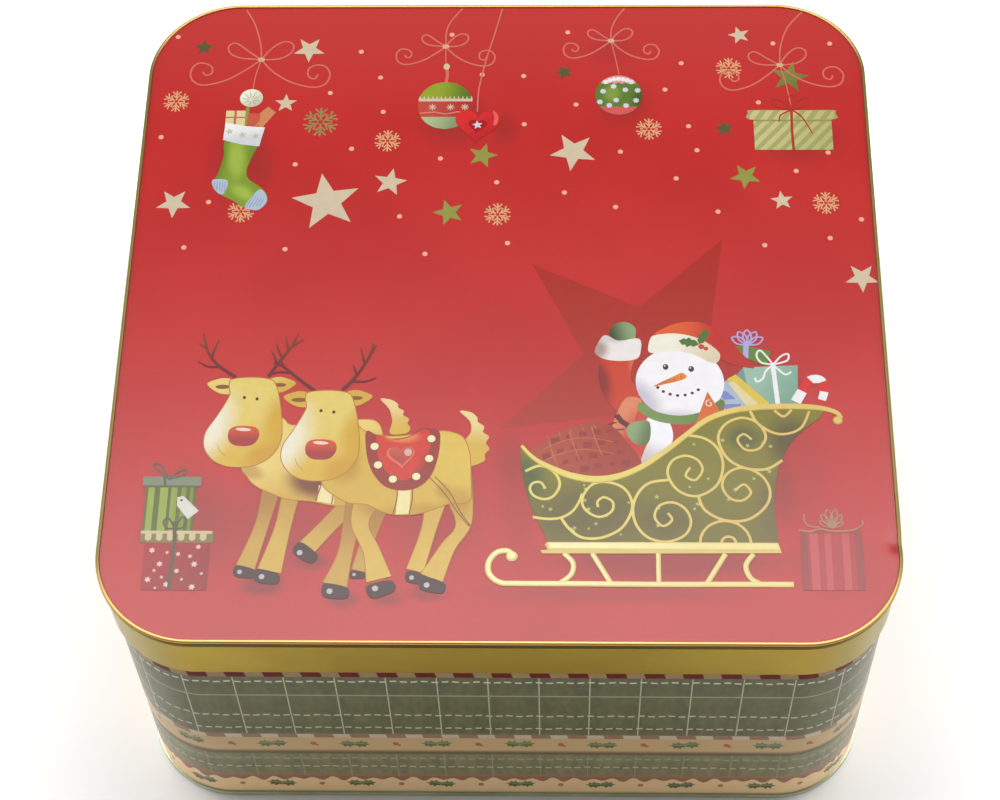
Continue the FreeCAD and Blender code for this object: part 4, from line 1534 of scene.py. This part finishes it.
def studio():
    """A pale floor, soft lamps and a grey surrounding."""
    paper = Nodes("floor")
    paper.shader.inputs["Base Color"].default_value = FLOOR_WHITE
    mesh = bpy.data.meshes.new("floor")
    size = FLOOR_HALF * MM
    mesh.from_pydata([(x, y, 0) for x, y in box(-size, -size, size, size)], [], [(0, 1, 2, 3)])
    mesh.materials.append(paper.finish(0.9, specular=0.0))
    floor = bpy.data.objects.new("floor", mesh)
    bpy.context.scene.collection.objects.link(floor)
    for lamp in LAMPS:
        softbox(*lamp)
    world = bpy.data.worlds.new("studio")
    world.use_nodes = True
    world.node_tree.nodes["Background"].inputs[0].default_value = WORLD_GREY
    bpy.context.scene.world = world


def camera():
    """Looks down on the tin's front from a little to the right."""
    data = bpy.data.cameras.new("camera")
    data.sensor_width = CAMERA_SENSOR
    data.lens = CAMERA_LENS
    data.clip_start = CAMERA_NEAR
    yaw, pitch, roll = (math.radians(a) for a in CAMERA_TURNS)
    forward = Vector((math.sin(yaw) * math.cos(pitch), math.cos(yaw) * math.cos(pitch),
                      -math.sin(pitch)))
    right = Vector((math.cos(yaw), -math.sin(yaw), 0))
    up = right.cross(forward)
    turned_right = math.cos(roll) * right + math.sin(roll) * up
    turned_up = math.cos(roll) * up - math.sin(roll) * right
    made = bpy.data.objects.new("camera", data)
    placed = Matrix((turned_right, turned_up, -forward)).transposed().to_4x4()
    placed.translation = Vector(CAMERA_AT) * MM
    made.matrix_world = placed
    bpy.context.scene.collection.objects.link(made)
    bpy.context.scene.camera = made


# ---------------------------------------------------------------- inks and sheets

# The gold's first band is a painted shadow under the bead, with a dark painted reflection along the
# front and back; the second is a painted highlight on the bead's top along the front and back and
# painted shade along the sides. The last colour is a painted reflection round the upright corners.
GOLD = metal("gold_lacquer", (170, 141, 34), (163, 133, 29), 0.24,
             (((106, 84, 22), (60, 36, 4), LID_TOP - 3.9, 0.3),
              ((108, 94, 56), (214, 170, 106), LID_TOP - 0.5, 0.15)),
             (255, 246, 208), 0.18, (132, 114, 56))
BASE_GOLD = metal("base_lacquer", (204, 208, 178), (190, 192, 160), 0.45)
TIN_INSIDE = metal("tin_inside", (208, 206, 200), (192, 190, 184), 0.3)
LID_INSIDE = metal("lid_inside", (206, 204, 198), (190, 188, 182), 0.32)
LID_RED = lid_red((        # x, y, half width, half height, depth
    (-73, 47, 11, 22, 0.3), (-66, 43, 5, 12, 0.2), (-14, 59, 13, 13, 0.35), (0, 56, 5, 8, 0.3),
    (33, 65, 11, 11, 0.3), (81, 52, 16, 11, 0.3), (30, 84, 10, 8, 0.15), (-55, -68, 20, 20, 0.3),
    (-16, -62, 20, 26, 0.3), (2, -48, 6, 10, 0.2), (-78, -68, 16, 22, 0.4), (41, -77, 42, 8, 0.5),
    (75, -50, 12, 22, 0.15), (83, -78, 13, 13, 0.25), (26, -26, 10, 13, 0.4),
    (5, -60, 8, 22, 0.25), (-58, -84.5, 8, 3.6, 0.6), (-46, -77.5, 6, 3.6, 0.5),
    (-38, -88, 6, 3.6, 0.5), (-27, -87.4, 6, 3.6, 0.5), (-17, -86, 7, 3.6, 0.5),
    (30, -86, 46, 4, 0.3), (71, -58, 5, 13, 0.3), (69, -47, 6, 6, 0.2)))

wall_ground()
# The candy stripes under the skirt are painted darker, red and white alike: painted shade of the
# lid.
wall_ink("candy_red_in_shade", (100, 10, 2), CANDY_GLOSS)
wall_ink("candy_white_in_shade", (152, 124, 86), CANDY_GLOSS)
plain_inks(wall_ink, {
    "candy_dull": (142, 106, 82), "candy_faded": (188, 172, 144), "thread": (176, 172, 140),
    "thread_faint": (150, 146, 112), "dash_bright": (206, 198, 170), "dash": (186, 180, 148),
    "dash_faint": (156, 152, 118), "holly": (112, 122, 82), "holly_vein": (150, 152, 112),
    "berry": (166, 88, 60), "berry_faint": (176, 120, 84), "holly_dark": (94, 98, 56),
    "fringe": (152, 104, 78)})

plain_inks(ink, {
    "cream": (208, 190, 163), "snow_dot": (240, 174, 146), "flake": (222, 166, 122),
    "dark_star": (92, 92, 60), "olive": (146, 148, 72), "flake_olive": (158, 132, 84),
    "ribbon": (210, 114, 100), "ribbon_knot": (212, 170, 132), "gift_cream": (216, 204, 150),
    "gift_cream_line": (196, 112, 90), "gift_tan": (206, 134, 92), "gift_rust": (196, 92, 70),
    "pompom_shade": (172, 170, 148), "sock_blue": (176, 188, 206), "sock_stripe": (134, 148, 178),
    "cuff_star": (196, 190, 160), "bauble_white": (210, 188, 168), "bauble_pink": (222, 128, 112),
    "heart_light": (230, 96, 90), "heart_dark": (166, 34, 40), "pink": (226, 142, 148),
    "bauble_low_red": (212, 92, 90), "gift_shadow": (150, 146, 84), "gift_red": (176, 60, 46)})
ink("olive_shade", (130, 136, 68), (112, 112, 60), ((76, 78), (82, 68)))
ink("pompom", (236, 236, 214), (196, 196, 172), ((-72.5, 69), (-69, 64.5)))
ink("sock", (128, 152, 52), spots=(
    ((92, 120, 44), 0.85, -79.6, 45, 4.4, 15, -6), ((164, 186, 78), 0.8, -73.4, 46, 3.4, 10, 4),
    ((164, 186, 76), 0.8, -71, 34.6, 5.5, 3, -36), ((100, 128, 46), 0.7, -68.2, 44, 2.6, 10, 8)))
ink("fur", (236, 234, 232), (206, 208, 214), ((-78, 57), (-77, 51)))
ink("bauble_top", (146, 162, 52), (92, 118, 44), ((-19, 70), (-10, 69)))
ink("bauble_red", (192, 78, 66), (176, 54, 48), ((-22, 62), (-9, 62)))
ink("bauble_low", (172, 186, 142), (110, 132, 92), ((-22, 60), (-10, 56)))
ink("heart", (214, 50, 52), (184, 40, 42), ((-11, 62), (-4, 51)))
ink("bauble_deep", (96, 124, 56), spots=(
    ((136, 160, 74), 0.8, 29.6, 68.4, 3.4, 4.4, 0), ((64, 88, 42), 0.8, 38, 66, 4, 7, 0)))
ink("gift_green", (168, 166, 106), (158, 160, 98), ((70, 58), (89, 50)))
ink("gift_pale", (197, 190, 136), (184, 178, 118), ((70, 58), (89, 50)))
ink("big_star", (179, 77, 72), (180, 80, 74), ((38, 10), (20, -50)), sheen=0.06)

plain_inks(low_ink, {
    "ear_dark": (150, 106, 58), "eye": (104, 80, 50), "deer_line": (196, 160, 90),
    "nose_shine": (240, 214, 196), "deer_edge": (188, 132, 74), "hoof": (97, 78, 72),
    "hoof_shine": (196, 192, 186), "girth": (242, 228, 172), "strap": (160, 112, 56),
    "saddle_edge": (164, 84, 64), "heart_shine": (230, 130, 106),
    "heart_light_spot": (222, 184, 168), "stud": (246, 236, 190), "stud_edge": (134, 86, 56),
    "stack_green": (112, 124, 74), "stack_grey": (142, 148, 128),
    "stack_grey_dark": (112, 114, 96), "stack_white": (236, 206, 196),
    "stack_cream": (214, 196, 158), "stack_awning": (146, 134, 92), "stack_tie": (112, 104, 84),
    "tag": (222, 220, 212), "pale_red": (190, 90, 90), "pale_red_light": (206, 104, 106),
    "pale_red_dark": (166, 92, 90), "pale_bow": (184, 144, 116), "hull_spark": (192, 192, 122),
    "trim_edge": (206, 176, 92), "runner_edge": (228, 202, 130), "blanket_dark": (160, 84, 70),
    "blanket_line": (196, 120, 92), "coat_dark": (190, 90, 82), "reins": (120, 78, 60),
    "cuff": (242, 240, 240), "holly_berry": (206, 96, 74), "coal": (96, 84, 88),
    "carrot_line": (200, 108, 66), "cap_dark": (196, 84, 72), "leaf": (106, 132, 88),
    "cargo_green": (118, 146, 88), "lilac": (184, 176, 222), "cargo_teal_dark": (132, 160, 156),
    "cargo_blue": (138, 146, 206), "cargo_blue_pale": (176, 192, 206),
    "cargo_yellow": (222, 198, 96), "cargo_yellow_pale": (226, 212, 168),
    "cargo_orange": (222, 122, 66), "cane_red": (222, 72, 74)})
for which, x, y in (("far", 0, 0), ("near", *DEER_STEP)):
    low_ink("head_" + which, (230, 206, 124), (222, 186, 92), ((x - 66, y - 34), (x - 60, y - 46)),
            (((240, 233, 212), 1.0, x - 75.6, y - 39, 9.5, 16, -21),
             ((214, 172, 74), 0.9, x - 56.6, y - 38, 5.4, 11, 0),
             ((210, 160, 78), 0.8, x - 60, y - 47.6, 8, 5, 30)))
    low_ink("nose_" + which, (214, 100, 72), (176, 82, 84),
            ((x - 65, y - 39.8), (x - 65, y - 43.2)))
low_ink("ear", (232, 208, 128), (216, 178, 92), ((-62, -24), (-60, -29)))
low_ink("antler", (126, 80, 60), (144, 92, 70), ((-60, -22), (-60, -12)))
low_ink("deer_tail", (238, 218, 160), (220, 184, 98), ((-6, -36), (-7, -45)))
low_ink("deer_tail_far", (238, 212, 158), (222, 184, 98), ((-26, -32), (-26, -39)))
low_ink("deer_body", (226, 196, 104), (218, 182, 96), ((-12, -44), (-24, -60)), (
    ((190, 146, 72), 0.8, -39, -49, 5.5, 9, 0), ((200, 158, 84), 0.8, -20, -64, 20, 4, 4),
    ((188, 146, 74), 0.6, -14, -57.5, 3, 3, 0),
    ((198, 156, 84), 0.7, -10, -60, 6, 5, 0)))
low_ink("deer_body_far", (234, 208, 130), (214, 174, 92), ((-56, -48), (-50, -60)), (
    ((132, 86, 58), 0.95, -47.4, -55.6, 9, 5.5, -22), ((190, 146, 88), 0.7, -63, -52, 5, 3, -30)))
low_ink("deer_leg", (216, 178, 100), (222, 187, 104), ((-30, -62), (-30, -78)), (
    ((188, 144, 84), 0.7, -30, -62, 8, 5, 0), ((188, 144, 84), 0.6, -10, -60, 5, 8, 0)))
low_ink("deer_leg_far", (200, 160, 92), (217, 181, 100), ((-48, -60), (-54, -74)))
low_ink("deer_leg_dark", (184, 138, 86), (208, 170, 96), ((-50, -60), (-54, -76)))
low_ink("saddle", (216, 86, 76), spots=(
    ((240, 160, 104), 0.9, -25, -41.6, 6, 2.6, -4), ((176, 84, 78), 0.7, -18.6, -50, 3, 6, -20)))
low_ink("saddle_heart", (190, 92, 88), (206, 108, 94), ((-25, -49), (-25, -45)))
low_ink("stack_lime", (162, 176, 94), (140, 152, 86), ((-84, -60), (-78, -60)))
low_ink("stack_red", (178, 66, 68), (164, 68, 70), ((-85, -74), (-75, -84)), (
    ((180, 82, 78), 0.7, -80, -88, 14, 4, 0),))
low_ink("hull", (142, 136, 74), (134, 126, 74), ((40, -50), (40, -70)), (
    ((122, 112, 78), 0.9, 22, -64, 22, 12, 0), ((122, 112, 80), 0.8, 42, -66, 10, 8, 0),
    ((96, 112, 82), 0.9, 6, -54, 8, 9, 0),
    ((112, 100, 80), 0.95, 75, -44, 10, 12, 30), ((130, 116, 86), 0.9, 70, -62, 8, 16, 0),
    ((108, 110, 84), 0.8, 62, -42, 6, 5, 0)))
low_ink("trim", (234, 216, 128), (228, 198, 122), ((30, -50), (60, -66)))
low_ink("runner", (252, 244, 186), (244, 228, 160), ((10, -76), (60, -76)))
low_ink("blanket", (182, 98, 86), (172, 88, 76), ((14, -46), (30, -50)))
low_ink("coat", (208, 92, 80), (206, 108, 94), ((46, -32), (46, -44)), (
    ((146, 66, 60), 0.9, 25.6, -25, 4, 10, 12), ((226, 140, 104), 0.7, 35.6, -21, 3.4, 7, 10)))
low_ink("coat_light", (226, 148, 116), (208, 88, 80), ((30, -36), (35.4, -40)))
low_ink("mitten", (92, 96, 72), (152, 174, 134), ((27.6, -11), (34.6, -9)))
low_ink("mitten_low", (152, 174, 132), (112, 132, 98), ((33, -40), (38, -42)))
low_ink("cuff_low", (246, 246, 250), (214, 198, 200), ((40, -42), (38, -48)))
low_ink("cuff_raised", (238, 232, 230), spots=(
    ((178, 152, 142), 0.9, 25, -15.6, 4, 5, -20), ((206, 198, 192), 0.7, 29, -12.2, 5, 2, 0)))
low_ink("snow", (246, 244, 246), spots=(
    ((204, 196, 212), 0.9, 36.4, -31, 6, 10, 30), ((208, 202, 216), 0.8, 45, -36.6, 11, 4, 0)))
low_ink("carrot", (236, 150, 84), (222, 128, 76), ((46, -23), (44, -26)))
low_ink("cap", (228, 116, 84), (198, 82, 70), ((45, -8), (57, -12)))
low_ink("cap_band", (242, 238, 222), (226, 212, 186), ((44, -12), (55, -18)))
low_ink("scarf", (134, 158, 104), (116, 140, 92), ((40, -34), (56, -34)))
low_ink("cargo_teal", (166, 196, 178), (138, 174, 156), ((64, -22), (75, -31)))

lid_sheets()
tin_wall()
tin_seam()
tin_base()
wall_films()
lid_films()
studio()
camera()
